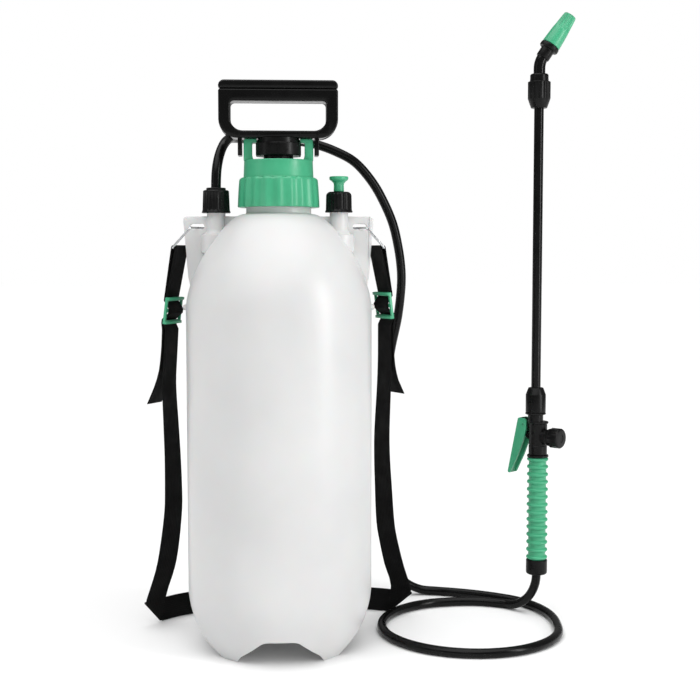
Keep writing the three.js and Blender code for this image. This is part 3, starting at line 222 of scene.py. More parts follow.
for name, node in nodes.items():
    if slot_of[name] in SLOT_FINISH:
        set_finish(node, SLOT_FINISH[slot_of[name]])
print(len(nodes), "parts carried over")

# %% [markdown]
# ## The hose
# A sprayer's hose is a thick rubber tube. It leaves the outlet upwards, arches over behind the pump, falls beside
# the tank and lies on the floor in one open coil before it climbs into the hand grip. A curve with a round bevel
# keeps its thickness everywhere, so only the route has to be right. The points are the model's own.

# %% The hose's route
HOSE_R = 4.8
HOSE_BORE = 3.2
HOSE_START = 449.3
HOSE_END = 60
LOOP_CENTRE = (196.5, 32)
LOOP_R = 91.5


def hose_route():
    route = [(-61, 0, HOSE_START), (-61, 0, 456)]
    rise = 49
    for a in range(15, 91, 15):
        out = rise * (1 - math.cos(math.radians(a)))
        route.append((-61 + 0.33 * out, 0.94 * out, 458 + rise * math.sin(math.radians(a))))
    route += [
        (-29, 66, 508), (-6, 73, 508), (20, 75, 507), (41, 75, 503), (59.2, 75, 496.5), (78.8, 75, 485.9),
        (98, 78, 464.8), (110.6, 82, 443.6), (119.9, 85, 422.3), (125.4, 88, 401), (128.9, 90, 379.5),
        (129.9, 92, 360), (127, 98, 325), (121, 105, 292.5), (116, 112, 258), (112.4, 118, 225.8),
        (111.9, 126, 191.7), (114.5, 138, 134.3), (118.2, 150, 87.2), (123, 158, 60), (131, 166, 34),
        (143, 171, 15.5), (160.1, 172, 6.5), (178, 169, 5), (192.6, 164, 5), (219, 153, 5), (244.4, 138, 5),
        (264.9, 121, 5), (280.7, 95, 5), (288.5, 64, 5),
    ]
    for step in range(13):
        a = math.radians(-22.5 * step)
        route.append((LOOP_CENTRE[0] + LOOP_R * math.cos(a), LOOP_CENTRE[1] + LOOP_R * math.sin(a), 5))
    climb = 42
    way = Vector((241.3 - 276, 119.4 - 80, 0)).normalized()
    route.append((220, 122.5, 5))
    for a in range(0, 91, 15):
        back = climb * (1 - math.sin(math.radians(a)))
        up = climb * (1 - math.cos(math.radians(a)))
        route.append((276 + way.x * back, 80 + way.y * back, 5 + up))
    route.append((276, 80, HOSE_END))
    return [at_tank(*p) for p in route]


# %% The route made smooth
def smooth_line(points, per_span=6):
    """A centripetal Catmull-Rom line through the points, as the model's hose follows."""
    line = []
    for i in range(len(points) - 1):
        p1, p2 = points[i], points[i + 1]
        p0 = points[i - 1] if i > 0 else p1 * 2 - p2
        p3 = points[i + 2] if i + 2 < len(points) else p2 * 2 - p1
        t0 = 0.0
        t1 = t0 + (p1 - p0).length ** 0.5
        t2 = t1 + (p2 - p1).length ** 0.5
        t3 = t2 + (p3 - p2).length ** 0.5
        for k in range(per_span):
            t = t1 + (t2 - t1) * k / per_span
            a1 = p0 * ((t1 - t) / (t1 - t0)) + p1 * ((t - t0) / (t1 - t0))
            a2 = p1 * ((t2 - t) / (t2 - t1)) + p2 * ((t - t1) / (t2 - t1))
            a3 = p2 * ((t3 - t) / (t3 - t2)) + p3 * ((t - t2) / (t3 - t2))
            b1 = a1 * ((t2 - t) / (t2 - t0)) + a2 * ((t - t0) / (t2 - t0))
            b2 = a2 * ((t3 - t) / (t3 - t1)) + a3 * ((t - t1) / (t3 - t1))
            line.append(b1 * ((t2 - t) / (t2 - t1)) + b2 * ((t - t1) / (t2 - t1)))
    line.append(points[-1])
    return line


def round_cord(name, line, radius, sides=6):
    curve = bpy.data.curves.new(name, "CURVE")
    curve.dimensions = "3D"
    curve.bevel_depth = radius * MM
    curve.bevel_resolution = sides
    curve.use_fill_caps = True
    spline = curve.splines.new("POLY")
    spline.points.add(len(line) - 1)
    for point, place in zip(spline.points, line):
        point.co = (*place, 1)
    spline.use_smooth = True
    piece = bpy.data.objects.new(name, curve)
    bpy.context.scene.collection.objects.link(piece)
    curve.materials.append(hose_rubber)
    return piece


hose_line = smooth_line(hose_route())
spray_hose = round_cord("spray_hose", hose_line, HOSE_R)
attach(spray_hose, "tank_body")
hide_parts("hose")

# %% [markdown]
# ## Working on a mesh by hand, in code
# Blender's edit operators act on whatever is selected, so each step first clears the selection and then picks the
# points it wants by their place. A turned part starts as its half profile, which Spin carries round the axis.

# %% Picking and finishing
def only(piece):
    bpy.ops.object.select_all(action="DESELECT")
    piece.select_set(True)
    bpy.context.view_layer.objects.active = piece


def pick(piece, test):
    """Goes into edit mode with just the points that pass the test selected."""
    only(piece)
    mesh = piece.data
    for part in (mesh.polygons, mesh.edges):
        for element in part:
            element.select = False
    count = 0
    for vertex in mesh.vertices:
        vertex.select = bool(test(vertex.co))
        count += vertex.select
    bpy.ops.object.mode_set(mode="EDIT")
    bpy.ops.mesh.select_mode(type="VERT")
    return count


def leave_edit():
    bpy.ops.object.mode_set(mode="OBJECT")


def set_down(piece, place=None, turn=(0, 0, 0)):
    """Puts the piece in its place and moves that place into its mesh."""
    only(piece)
    if place is not None:
        piece.location = place
    piece.rotation_euler = turn
    bpy.ops.object.transform_apply(location=True, rotation=True, scale=True)
    return piece


def smooth(piece, angle=35):
    only(piece)
    bpy.ops.object.shade_smooth_by_angle(angle=math.radians(angle))


def round_edges(piece, width, segments=2, angle=30):
    only(piece)
    bevel = piece.modifiers.new("round_edges", "BEVEL")
    bevel.width = width * MM
    bevel.segments = segments
    bevel.limit_method = "ANGLE"
    bevel.angle_limit = math.radians(angle)
    bpy.ops.object.modifier_apply(modifier=bevel.name)
    smooth(piece)


def combine(piece, other, operation="DIFFERENCE"):
    """Cuts or joins another closed piece, which is used up."""
    only(piece)
    boolean = piece.modifiers.new("combine", "BOOLEAN")
    boolean.operation = operation
    boolean.solver = "EXACT"
    boolean.object = other
    bpy.ops.object.modifier_apply(modifier=boolean.name)
    bpy.data.objects.remove(other)
    return piece


def belongs(piece, body, slot, material, *replaced):
    set_finish(piece, material)
    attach(piece, body)
    if replaced:
        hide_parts(*replaced)
    return piece


# %% Turned parts
def turned(name, profile, steps=96, closed=False):
    """Spins a profile of (radius, height) points about the Z axis."""
    points = list(profile) + ([profile[0]] if closed else [])
    mesh = bpy.data.meshes.new(name)
    mesh.from_pydata([(r * MM, 0, z * MM) for r, z in points], [(i, i + 1) for i in range(len(points) - 1)], [])
    piece = bpy.data.objects.new(name, mesh)
    bpy.context.scene.collection.objects.link(piece)
    pick(piece, lambda co: True)
    bpy.ops.mesh.spin(steps=steps, angle=2 * math.pi, center=(0, 0, 0), axis=(0, 0, 1))
    bpy.ops.mesh.select_all(action="SELECT")
    bpy.ops.mesh.remove_doubles(threshold=2e-6)
    bpy.ops.mesh.normals_make_consistent(inside=False)
    leave_edit()
    smooth(piece)
    return piece


def arc(cx, cz, r, start, end, steps=5):
    """Points on a quarter round or any other arc of a profile, in degrees."""
    points = []
    for i in range(steps + 1):
        a = math.radians(start + (end - start) * i / steps)
        points.append((cx + r * math.cos(a), cz + r * math.sin(a)))
    return points


# %% Ribs round a turned part
def flute(piece, ribs, per_rib, depth, low, high, inner):
    """Draws in the columns between ribs. depth is a share of the radius; inner leaves out the bore."""
    columns = ribs * per_rib
    for k in range(1, per_rib):
        share = depth * math.sin(math.pi * k / per_rib) ** 1.6
        if share < 0.002:
            continue

        def between(co, k=k):
            if not (low * MM <= co.z <= high * MM) or math.hypot(co.x, co.y) < inner * MM:
                return False
            column = round(math.atan2(co.y, co.x) / (2 * math.pi) * columns) % per_rib
            return column == k

        if pick(piece, between):
            bpy.ops.transform.resize(value=(1 - share, 1 - share, 1), center_override=(0, 0, 0))
        leave_edit()


# %% Blocks and plates
def block(name, x0, x1, y0, y1, z0, z1):
    bpy.ops.object.select_all(action="DESELECT")
    bpy.ops.mesh.primitive_cube_add(size=1, location=(0, 0, 0))
    piece = bpy.context.object
    piece.name = name
    piece.scale = ((x1 - x0) * MM, (y1 - y0) * MM, (z1 - z0) * MM)
    piece.location = Vector(((x0 + x1) / 2, (y0 + y1) / 2, (z0 + z1) / 2)) * MM
    bpy.ops.object.transform_apply(location=True, rotation=True, scale=True)
    return piece


def plate(name, outline, y0, y1):
    """A flat outline of (x, z) points given thickness along Y by extruding its one face."""
    mesh = bpy.data.meshes.new(name)
    mesh.from_pydata([(x * MM, y0 * MM, z * MM) for x, z in outline], [], [list(range(len(outline)))])
    piece = bpy.data.objects.new(name, mesh)
    bpy.context.scene.collection.objects.link(piece)
    pick(piece, lambda co: True)
    bpy.ops.mesh.select_all(action="SELECT")
    bpy.ops.mesh.extrude_region_move(TRANSFORM_OT_translate={"value": (0, (y1 - y0) * MM, 0)})
    bpy.ops.mesh.select_all(action="SELECT")
    bpy.ops.mesh.normals_make_consistent(inside=False)
    leave_edit()
    return piece


def rounded_outline(x0, x1, z0, z1, low_r, high_r, steps=8):
    return (
        arc(x1 - low_r, z0 + low_r, low_r, -90, 0, steps)
        + arc(x1 - high_r, z1 - high_r, high_r, 0, 90, steps)
        + arc(x0 + high_r, z1 - high_r, high_r, 90, 180, steps)
        + arc(x0 + low_r, z0 + low_r, low_r, 180, 270, steps)
    )


# %% [markdown]
# ## The tank
# It is blown from one bottle of white plastic: a straight wall, a long round shoulder, a short neck, and four feet
# left standing between two crossing arches. The body is turned, the arches are cut from it, and their edges are
# rounded as blown plastic is.

# %% Tank body
TANK_R = 91.25
FOOT_R = 70
BASE_ROUND_TOP = 62
SHOULDER_Z = 335
DOME_Z = 429
NECK_R = 31.75
NECK_TOP = 458.7
WALL = 2.5


def bezier(p0, p1, p2, p3, steps):
    points = []
    for i in range(steps + 1):
        t = i / steps
        weights = ((1 - t) ** 3, 3 * t * (1 - t) ** 2, 3 * t * t * (1 - t), t**3)
        points.append(tuple(sum(w * p[k] for w, p in zip(weights, (p0, p1, p2, p3))) for k in (0, 1)))
    return points


def tank_profile(inset):
    base = bezier(
        (FOOT_R - inset, inset), (FOOT_R + 8 - inset, inset + 12), (TANK_R - inset, BASE_ROUND_TOP - 26),
        (TANK_R - inset, BASE_ROUND_TOP), 16,
    )
    walls = [(TANK_R - inset, z) for z in (90, 150, 210, 270)]
    dome = bezier(
        (TANK_R - inset, SHOULDER_Z), (TANK_R - inset, SHOULDER_Z + 37), (52, DOME_Z - inset),
        (NECK_R + 2.25 - inset, DOME_Z - inset), 28,
    )
    return base + walls + dome


def tank_body():
    outer = [(0, 0)] + tank_profile(0) + arc(NECK_R + 1.5, DOME_Z + 1.5, 1.5, 270, 180, 3)
    outer += [(NECK_R, NECK_TOP - 0.6), (NECK_R - 0.6, NECK_TOP), (27, NECK_TOP)]
    inner = [(27, DOME_Z - 1)] + tank_profile(WALL)[::-1][1:] + [(0, WALL)]
    piece = turned("tank_body_shell", outer + inner, steps=128)
    return piece


def arch_cutter(name):
    half = [(42.5, -2), (39.4, 4.4), (37.4, 7.4), (30, 13.7), (23, 19.7), (18.2, 23.9), (15, 25.4), (10, 26)]
    return plate(name, half + [(-x, z) for x, z in reversed(half)], -110, 110)


tank_shell = tank_body()
solid_base = turned("solid_base", [(0, 0.6), (68, 0.6), (76, 13), (84, 28), (84, 31), (0, 31)], steps=96)
combine(tank_shell, solid_base, "UNION")
cutter = arch_cutter("arch_along_y")
combine(tank_shell, cutter)
cutter = set_down(arch_cutter("arch_along_x"), turn=(0, 0, math.pi / 2))
combine(tank_shell, cutter)

# %% Soften the arches' edges
def round_arch_edges(piece):
    only(piece)
    bpy.ops.object.mode_set(mode="EDIT")
    bpy.ops.mesh.select_mode(type="EDGE")
    bpy.ops.mesh.select_all(action="DESELECT")
    bpy.ops.mesh.edges_select_sharp(sharpness=math.radians(28))
    leave_edit()
    mesh = piece.data
    for edge in mesh.edges:
        a, b = (mesh.vertices[i].co for i in edge.vertices)
        outside = min(math.hypot(a.x, a.y), math.hypot(b.x, b.y)) > 20 * MM
        if not (edge.select and max(a.z, b.z) < 30 * MM and outside and min(a.z, b.z) > 0.3 * MM):
            edge.select = False
    for vertex in mesh.vertices:
        vertex.select = False
    for edge in mesh.edges:
        if edge.select:
            for i in edge.vertices:
                mesh.vertices[i].select = True
    bpy.ops.object.mode_set(mode="EDIT")
    bpy.ops.mesh.bevel(offset=4.5 * MM, segments=6, affect="EDGES", clamp_overlap=True)
    leave_edit()
    smooth(piece, 45)


round_arch_edges(tank_shell)
set_down(tank_shell, TANK)
belongs(
    tank_shell, "tank_body", "tank_white", tank_plastic, "tank_base", "tank_wall", "tank_shoulder", "tank_neck"
)

# %% [markdown]
# ## Strap tabs, spigots and side nubs
# Two flat webs stand out from the shoulder and hold the strap rings in a slot. Two round bosses carry the outlet
# and the relief valve. They are blown with the tank, so they share its plastic and run into its wall.

# %% Tabs
def strap_tab(name, side):
    outline = [(28, 427), (28, 380), (60, 352), (84, 346), (88.5, 367), (93, 423)]
    outline += arc(89.3, 423.2, 3.7, 5, 90, 5)
    tab = plate(name, [(side * x, z) for x, z in outline], -2.5, 2.5)
    slot = plate("slot", [(side * x, z) for x, z in rounded_outline(72.55, 86.05, 414.2, 419.6, 2.6, 2.6, 6)], -9, 9)
    combine(tab, slot)
    round_edges(tab, 0.9, 3)
    set_down(tab, TANK)
    belongs(tab, "tank_body", "tank_white", tank_plastic)
    return tab


for side, word in ((-1, "left"), (1, "right")):
    strap_tab("strap_tab_" + word, side)

# %% Spigots and nubs
def spigot(name, place):
    flare = arc(15, 415, 6, 270, 180, 5)
    profile = [(0, 380), (15, 392), (15, 409)] + flare + [(9, 445.4), (8.4, 446), (6.5, 446), (6.5, 425), (0, 425)]
    piece = turned(name, profile, steps=64)
    set_down(piece, place)
    return belongs(piece, "tank_body", "tank_white", tank_plastic)


spigot("outlet_spigot", OUTLET)
spigot("relief_spigot", RELIEF)
for side, word in ((-1, "left"), (1, "right")):
    nub = turned("side_nub_" + word, [(0, 89.5), (3.4, 89.5), (3.0, 91.4), (2.5, 93.4), (1.7, 94.1), (0, 94.2)], steps=32)
    set_down(nub, at_tank(0, 0, 338), (0, side * math.pi / 2, 0))
    belongs(nub, "tank_body", "tank_white", tank_plastic)

# %% [markdown]
# ## The pump cap
# The green cap screws down over the neck. Its lower part has broad round ribs to grip, its collar is plain, and two
# lugs with inward hooks lock the handle down for carrying.

# %% Cap body
CAP_RIBS = 20
CAP_PER_RIB = 8


def pump_cap():
    outer = [(32.4, 435.5), (38.6, 435.5)] + arc(38.9, 436.6, 1.1, -90, 0, 3) + [(39.6, 445), (39.0, 455)]
    outer += arc(35.3, 461.1, 3.2, 0, 90, 5) + [(34.3, 464.4), (34.1, 464.9), (33.5, 479.1)]
    outer += arc(32.5, 480, 1.0, 0, 90, 3) + [(14.9, 481), (14.9, 478), (30.7, 478), (30.7, 463.4), (32.4, 463.3)]
    cap = turned("pump_cap_shell", outer, steps=CAP_RIBS * CAP_PER_RIB, closed=True)
    flute(cap, CAP_RIBS, CAP_PER_RIB, 0.042, 435.9, 464, 33.5)
    round_edges(cap, 0.35, 2, 50)
    set_down(cap, TANK)
    return belongs(cap, "pump_cap", "part_green", green_plastic, "pump_cap")


pump_cap()

# %% Locking lugs
def lug(name, side):
    outline = [(23, 480.8), (24.8, 483), (25.6, 486.5), (25.6, 497.2), (24.8, 498), (21.6, 498), (21, 498.8), (21, 501)]
    outline += [(21.5, 501.5), (32.6, 501.5), (33.8, 500.3), (33.8, 480.8)]
    piece = plate(name, [(side * x, z) for x, z in outline], -7, 7)
    round_edges(piece, 0.8, 3)
    set_down(piece, TANK)
    return belongs(piece, "pump_cap", "part_green", green_plastic)


lug("cap_lug_left", -1)
lug("cap_lug_right", 1)

# %% [markdown]
# ## The handle
# A black D handle with a separate grip bar along its top. Its hub takes the piston rod, and two short legs stand
# outside the cap's lugs. The frame is one extruded outline with its opening cut out and every edge rounded.

# %% Handle frame
def handle_frame():
    frame_piece = plate("handle_frame", rounded_outline(-57.8, 57.8, 502, 549.1, 18, 2.5, 8), -13.5, 13.5)
    combine(frame_piece, plate("opening", rounded_outline(-46.6, 46.6, 509.2, 537.6, 12, 4, 8), -20, 20))
    round_edges(frame_piece, 1.8, 4, 50)
    set_down(frame_piece, TANK)
    return belongs(frame_piece, "handle", "part_black", gloss_black, "pump_handle")


def handle_hub():
    lower = turned("handle_hub", [(6.3, 485.4), (22.9, 485.4), (23.5, 486), (23.5, 497), (22.9, 497.6), (6.3, 497.6)],
                   steps=96, closed=True)
    for side in (-1, 1):
        combine(lower, block("notch", *sorted((side * 20.6, side * 26)), -8, 8, 478, 501))
    round_edges(lower, 0.4, 2, 50)
    set_down(lower, TANK)
    belongs(lower, "handle", "part_black", black_plastic)
    neck = turned("handle_neck", [(6.3, 485.5), (20.3, 485.5), (20.3, 502.6), (6.3, 502.6)], steps=96, closed=True)
    set_down(neck, TANK)
    belongs(neck, "handle", "part_black", black_plastic)
    seam = block("handle_seam", -0.8, 0.8, -23.9, 23.9, 486.2, 497.2)
    combine(seam, block("rod_space", -3, 3, -9, 9, 478, 507))
    set_down(seam, TANK)
    belongs(seam, "handle", "part_black", black_plastic)


def handle_leg(name, side):
    leg = block(name, *sorted((side * 35.3, side * 39.4)), -9, 9, 485.4, 506)
    round_edges(leg, 0.9, 3)
    set_down(leg, TANK)
    belongs(leg, "handle", "part_black", gloss_black)


handle_frame()
handle_hub()
handle_leg("handle_leg_left", -1)
handle_leg("handle_leg_right", 1)

# %% Stiffening ribs in the frame's foot
for index, x in enumerate((-38, -19, 21, 38)):
    rib = block("foot_rib_%d" % index, x - 1, x + 1, -13.9, 13.9, 502.8, 508.6)
    round_edges(rib, 0.4, 2)
    set_down(rib, TANK)
    belongs(rib, "handle", "part_black", black_plastic)

# %% Grip bar
grip_bar = plate("grip_bar", rounded_outline(-57.8, 57.8, 549.4, 557.6, 2.0, 5.5, 8), -13.5, 13.5)
round_edges(grip_bar, 2.2, 4, 40)
set_down(grip_bar, TANK)
belongs(grip_bar, "handle", "part_black", gloss_black, "handle_grip")

# %% [markdown]
# ## Outlet nut and relief valve
# Both are black ribbed caps on the white spigots. The relief valve's green button is pulled up by its flared top to
# let the pressure out.

# %% Ribbed nuts
def ribbed_nut(name, profile, ribs, per_rib, depth, low, high, inner):
    nut = turned(name, profile, steps=ribs * per_rib, closed=True)
    flute(nut, ribs, per_rib, depth, low, high, inner)
    round_edges(nut, 0.2, 2, 50)
    return nut


outlet = ribbed_nut(
    "outlet_nut_shell",
    [(9.4, 430), (13.7, 430), (14.1, 430.6), (13.5, 432.4), (13.3, 433.4), (12.7, 449.6)]
    + arc(11.0, 450.6, 1.7, 0, 90, 4)
    + [(9.5, 452.4), (9.5, 454.0), (9.0, 454.6), (5.1, 454.6), (5.1, 449.4), (9.4, 449.2)],
    22, 6, 0.05, 433.2, 450.5, 10,
)
set_down(outlet, OUTLET)
belongs(outlet, "outlet_nut", "part_black", black_plastic, "outlet_nut")

relief = ribbed_nut(
    "relief_cap_shell",
    [(9.4, 430.8), (13.2, 430.8), (13.65, 431.4), (13.0, 433), (12.8, 434), (12.5, 447.5), (11.9, 449.2), (10.2, 450.7)]
    + [(9.4, 451), (2.2, 451), (2.2, 448), (9.4, 447.8)],
    22, 6, 0.05, 433.8, 448.5, 10,
)
set_down(relief, RELIEF)
belongs(relief, "relief_cap", "part_black", black_plastic, "relief_cap")

knob = turned(
    "relief_button",
    [(0, 423), (1.8, 423), (1.8, 451.3), (4.7, 451.3), (5.1, 451.8), (4.9, 457.6), (5.3, 459.4), (7.0, 461.3)]
    + [(8.9, 462.6), (9.3, 463.4), (9.3, 465.0)] + arc(8.3, 465.0, 1.0, 0, 90, 4) + [(0, 466)],
    steps=72,
)
set_down(knob, RELIEF)
belongs(knob, "relief_knob", "part_green", green_plastic, "relief_knob")

# %% [markdown]
# ## The hand grip and its valve
# A green ringed sleeve over a black core, with a black cap where the hose goes in and the valve body on top. These
# parts share the grip's axis. The trigger and the knob face left and to the front, so the valve is turned by 45
# degrees about that axis.

# %% Grip cap, sleeve and collar
GRIP_Z = 62.8
GRIP_END = 174
GRIP_RINGS = 14


def on_grip(piece, body, slot, material, *replaced):
    set_down(piece, GRIP, (0, 0, TRIGGER_YAW))
    return belongs(piece, body, slot, material, *replaced)


grip_cap = turned(
    "grip_cap_shell",
    [(5.1, 46.6), (8.2, 46.6)] + arc(8.9, 49.1, 2.5, -90, 0, 5) + [(11.4, 60.9)] + arc(10.4, 61.5, 1.0, 0, 90, 3)
    + [(5.1, 62.5)],
    steps=96, closed=True,
)
flute(grip_cap, 24, 4, 0.03, 49.4, 60.5, 8)
round_edges(grip_cap, 0.2, 2, 50)
on_grip(grip_cap, "grip_cap", "part_black", black_plastic, "grip_cap")

pitch = (GRIP_END - GRIP_Z - 5) / (GRIP_RINGS - 1)
rings = [(7.8, GRIP_Z)]
for i in range(GRIP_RINGS):
    z = GRIP_Z + 2.4 + pitch * i
    rings += [(9.3, z - 2.4)] + arc(9.6, z, 1.75, -78, 78, 8) + [(9.3, z + 2.4)]
rings.append((7.8, GRIP_END - 0.3))
sleeve = turned("grip_sleeve_rings", rings, steps=72, closed=True)
smooth(sleeve, 60)
on_grip(sleeve, "tank_body", "part_green", green_plastic, "grip_sleeve")

collar = turned(
    "grip_collar",
    [(7.3, GRIP_END), (10.9, GRIP_END)] + arc(10.6, 174.8, 0.8, -60, 60, 4) + [(10.9, 176), (7.3, 176)],
    steps=72, closed=True,
)
on_grip(collar, "tank_body", "part_black", black_plastic)

# %% Valve body
valve = turned(
    "valve_body_shell",
    [(3, 176.3), (9.4, 176.3), (9.8, 176.8), (9.8, 186), (9.5, 186.4), (9.5, 187.4), (9.8, 187.8), (9.8, 209.6)]
    + arc(9.9, 211.0, 1.2, -60, 60, 5) + [(9.6, 212.2), (3, 212.2)],
    steps=72, closed=True,
)
on_grip(valve, "tank_body", "part_black", black_plastic, "valve_body")
rear_boss = turned("valve_rear_boss", [(0, 7), (8, 7), (8, 11.6), (7.4, 12.2), (7.4, 13.7), (0, 13.7)], steps=64)
set_down(rear_boss, Vector((0, 0, 196 * MM)), (0, math.pi / 2, 0))
on_grip(rear_boss, "tank_body", "part_black", black_plastic)
front_boss = turned("valve_front_boss", [(2.6, 8), (4.4, 8), (4.4, 12.5), (3.9, 13), (2.6, 13)], steps=48, closed=True)
set_down(front_boss, Vector((0, 0, 196 * MM)), (0, -math.pi / 2, 0))
on_grip(front_boss, "tank_body", "part_black", black_plastic)
pin_lug = block("trigger_lug", -17.5, -7, -4.4, 4.4, 204, 212)
round_edges(pin_lug, 1.2, 3)
on_grip(pin_lug, "tank_body", "part_black", black_plastic)

# %% Rear knob
rear_knob = turned(
    "rear_knob_shell",
    [(0, 14.0), (8.9, 14.0), (9.3, 14.6), (9.3, 16.6), (10.2, 17.2), (10.7, 18.0), (10.7, 26.6)]
    + arc(8.7, 27.0, 2.0, 0, 90, 5) + [(4.5, 29.0), (4.2, 28.4), (0, 28.4)],
    steps=96,
)
flute(rear_knob, 16, 6, 0.05, 17.1, 27.4, 9.4)
set_down(rear_knob, Vector((0, 0, 196 * MM)), (0, math.pi / 2, 0))
on_grip(rear_knob, "rear_knob", "part_black", black_plastic, "rear_knob")

# %% Trigger
def trigger():
    outline = [(-31, 154), (-21.5, 173), (-15, 189), (-11.8, 200), (-10.8, 204), (-10.8, 212.6)]
    outline += [(-12.2, 214.3), (-20, 215.0), (-21.4, 213.9), (-33.9, 155.6), (-33.2, 154.2)]
    lever = plate("trigger_lever", outline, -7, 7)
    room = plate("room", [(-18.7, 221), (-31.7, 156), (-27, 140), (0, 140), (0, 221)], -4.8, 4.8)
    combine(lever, room)
    round_edges(lever, 0.7, 3, 40)
    return on_grip(lever, "trigger", "part_green", green_plastic, "trigger")


trigger()

# %% [markdown]
# ## The lance
# A slim black tube between two ribbed nuts, then an elbow and the green cone nozzle. The nuts, the elbow and the
# nozzle are all turned, so they share one recipe, and the bend is set by turning the last two about the elbow.

# %% Lance parts
ELBOW_Z = 590.5
ELBOW_TILT = math.radians(33.6)


def on_lance(piece, body, slot, material, *replaced, tilt=0.0, lift=0.0):
    set_down(piece, LANCE + Vector((0, 0, lift * MM)), (0, tilt, 0))
    return belongs(piece, body, slot, material, *replaced)


neck = turned(
    "valve_neck",
    [(2.5, 211.5), (8.2, 211.5), (8.2, 219.4), (8.6, 219.8), (10.7, 219.8), (11.0, 220.2), (11.0, 221.0), (10.7, 221.4)]
    + [(7.2, 221.4), (7.2, 236.4), (2.5, 236.4)],
    steps=72, closed=True,
)
on_lance(neck, "tank_body", "part_black", black_plastic)

lower_nut = turned(
    "lower_nut_shell",
    [(7.6, 221.8), (10.3, 221.8), (10.7, 222.3), (10.7, 240.9), (10.4, 241.5), (8.2, 247.6), (7.7, 248.3)]
    + [(5.3, 248.3), (5.3, 237.5), (7.6, 237.3)],
    steps=96, closed=True,
)
flute(lower_nut, 16, 6, 0.055, 224.5, 240.2, 8)
round_edges(lower_nut, 0.2, 2, 50)
on_lance(lower_nut, "lower_nut", "part_black", black_plastic, "lower_nut")

lance_tube = turned("lance_tube_shell", [(3.8, 237), (5, 237), (5, 560), (3.8, 560)], steps=64, closed=True)
on_lance(lance_tube, "lance", "part_black", gloss_black, "lance_tube")

upper_nut = turned(
    "upper_nut_shell",
    [(5.3, 542.8), (8.0, 542.8), (8.5, 543.3), (10.6, 549.2), (11.4, 551.6), (12.0, 552.6), (12.0, 569.2)]
    + arc(11.2, 569.4, 0.8, 0, 90, 3) + [(9.8, 570.4), (9.5, 574.6)] + arc(7.6, 576.4, 2.0, 0, 90, 4)
    + [(6.4, 578.4), (6.4, 561), (5.3, 560.8)],
    steps=96, closed=True,
)
flute(upper_nut, 16, 6, 0.05, 552.2, 569.8, 9.9)
round_edges(upper_nut, 0.2, 2, 50)
on_lance(upper_nut, "upper_nut", "part_black", black_plastic, "upper_nut")

# %% Elbow
def elbow_line():
    """Up the tube, round a short bend and out along the tilted arm."""
    points = [Vector((0, 0, z)) for z in (562, 570, 578, 584)]
    out = Vector((math.sin(ELBOW_TILT), 0, math.cos(ELBOW_TILT)))
    corner = Vector((0, 0, ELBOW_Z))
    start = Vector((0, 0, 584))
    end = corner + out * 6.5
    for k in range(1, 9):
        t = k / 8
        points.append(start * (1 - t) ** 2 + corner * (2 * t * (1 - t)) + end * t * t)
    points.append(corner + out * 10)
    return [LANCE + p * MM for p in points]


def elbow():
    tube = round_cord("elbow_tube", elbow_line(), 6.1, 10)
    only(tube)
    bpy.ops.object.convert(target="MESH")
    tube = bpy.context.object
    smooth(tube)
    belongs(tube, "elbow", "part_black", gloss_black, "elbow")
    socket = turned(
        "elbow_socket",
        [(0, 5), (6.3, 5), (6.9, 5.4), (7.2, 6.2), (7.2, 14.6), (7.9, 15.4), (9.6, 15.8)]
        + arc(9.2, 17.2, 1.2, -60, 0, 4) + [(10.4, 19.2)] + arc(9.2, 19.5, 1.2, 0, 90, 4) + [(4, 20.7), (4, 34), (0, 34)],
        steps=72,
    )
    on_lance(socket, "elbow", "part_black", black_plastic, tilt=ELBOW_TILT, lift=ELBOW_Z)


elbow()

# %% Nozzle
def nozzle():
    cone = turned(
        "nozzle_cone",
        [(4.3, 21), (9.3, 21), (9.8, 21.5), (9.9, 22.4), (9.45, 30), (9.0, 37), (8.75, 39.5), (8.55, 40.5), (8.45, 41.5)]
        + [(7.9, 47), (7.2, 54), (6.9, 56.2)] + arc(6.0, 57.0, 0.8, 10, 90, 3) + [(1.6, 57.9), (1.0, 57.2), (1.0, 38), (4.3, 36)],
        steps=96, closed=True,
    )
    flute(cone, 12, 8, 0.13, 41.0, 57.5, 5.5)
    smooth(cone, 50)
    on_lance(cone, "nozzle", "part_green", green_plastic, "nozzle", tilt=ELBOW_TILT, lift=ELBOW_Z)


nozzle()

# %% [markdown]
# ## The strap's webbing
# The strap is one 25 mm band. From each tail it passes through its buckle, goes over the foot of the wire ring,
# comes back through the buckle, runs down beside the tank, turns over in a 45 degree fold and crosses the floor on
# its edge. It is built as stations, each with two edge points and the way its thickness faces, because cloth tools
# would lose its exact width. The stations are the model's own.

# %% Webbing frame
WEB_W = 25
WEB_T = 1.5
FIT = 0.3
LOOP_ALPHA = 66
LAYER = WEB_T + FIT
BUCKLE_W = 32
BUCKLE_H = 26
BUCKLE_T = 2.4
BAR_H = 3.5
UNDER_BAR = BUCKLE_T / 2 + FIT + WEB_T / 2
FOLD_GAP = WEB_T + 0.6
BUCKLE_TILT = math.radians(8)
WIRE_R = 1.1
RING_W = 30
RING_FOOT = (97, 396)
RING_HEAD = (79.3, 416.9 - 5.4 / 2 + FIT + WIRE_R)

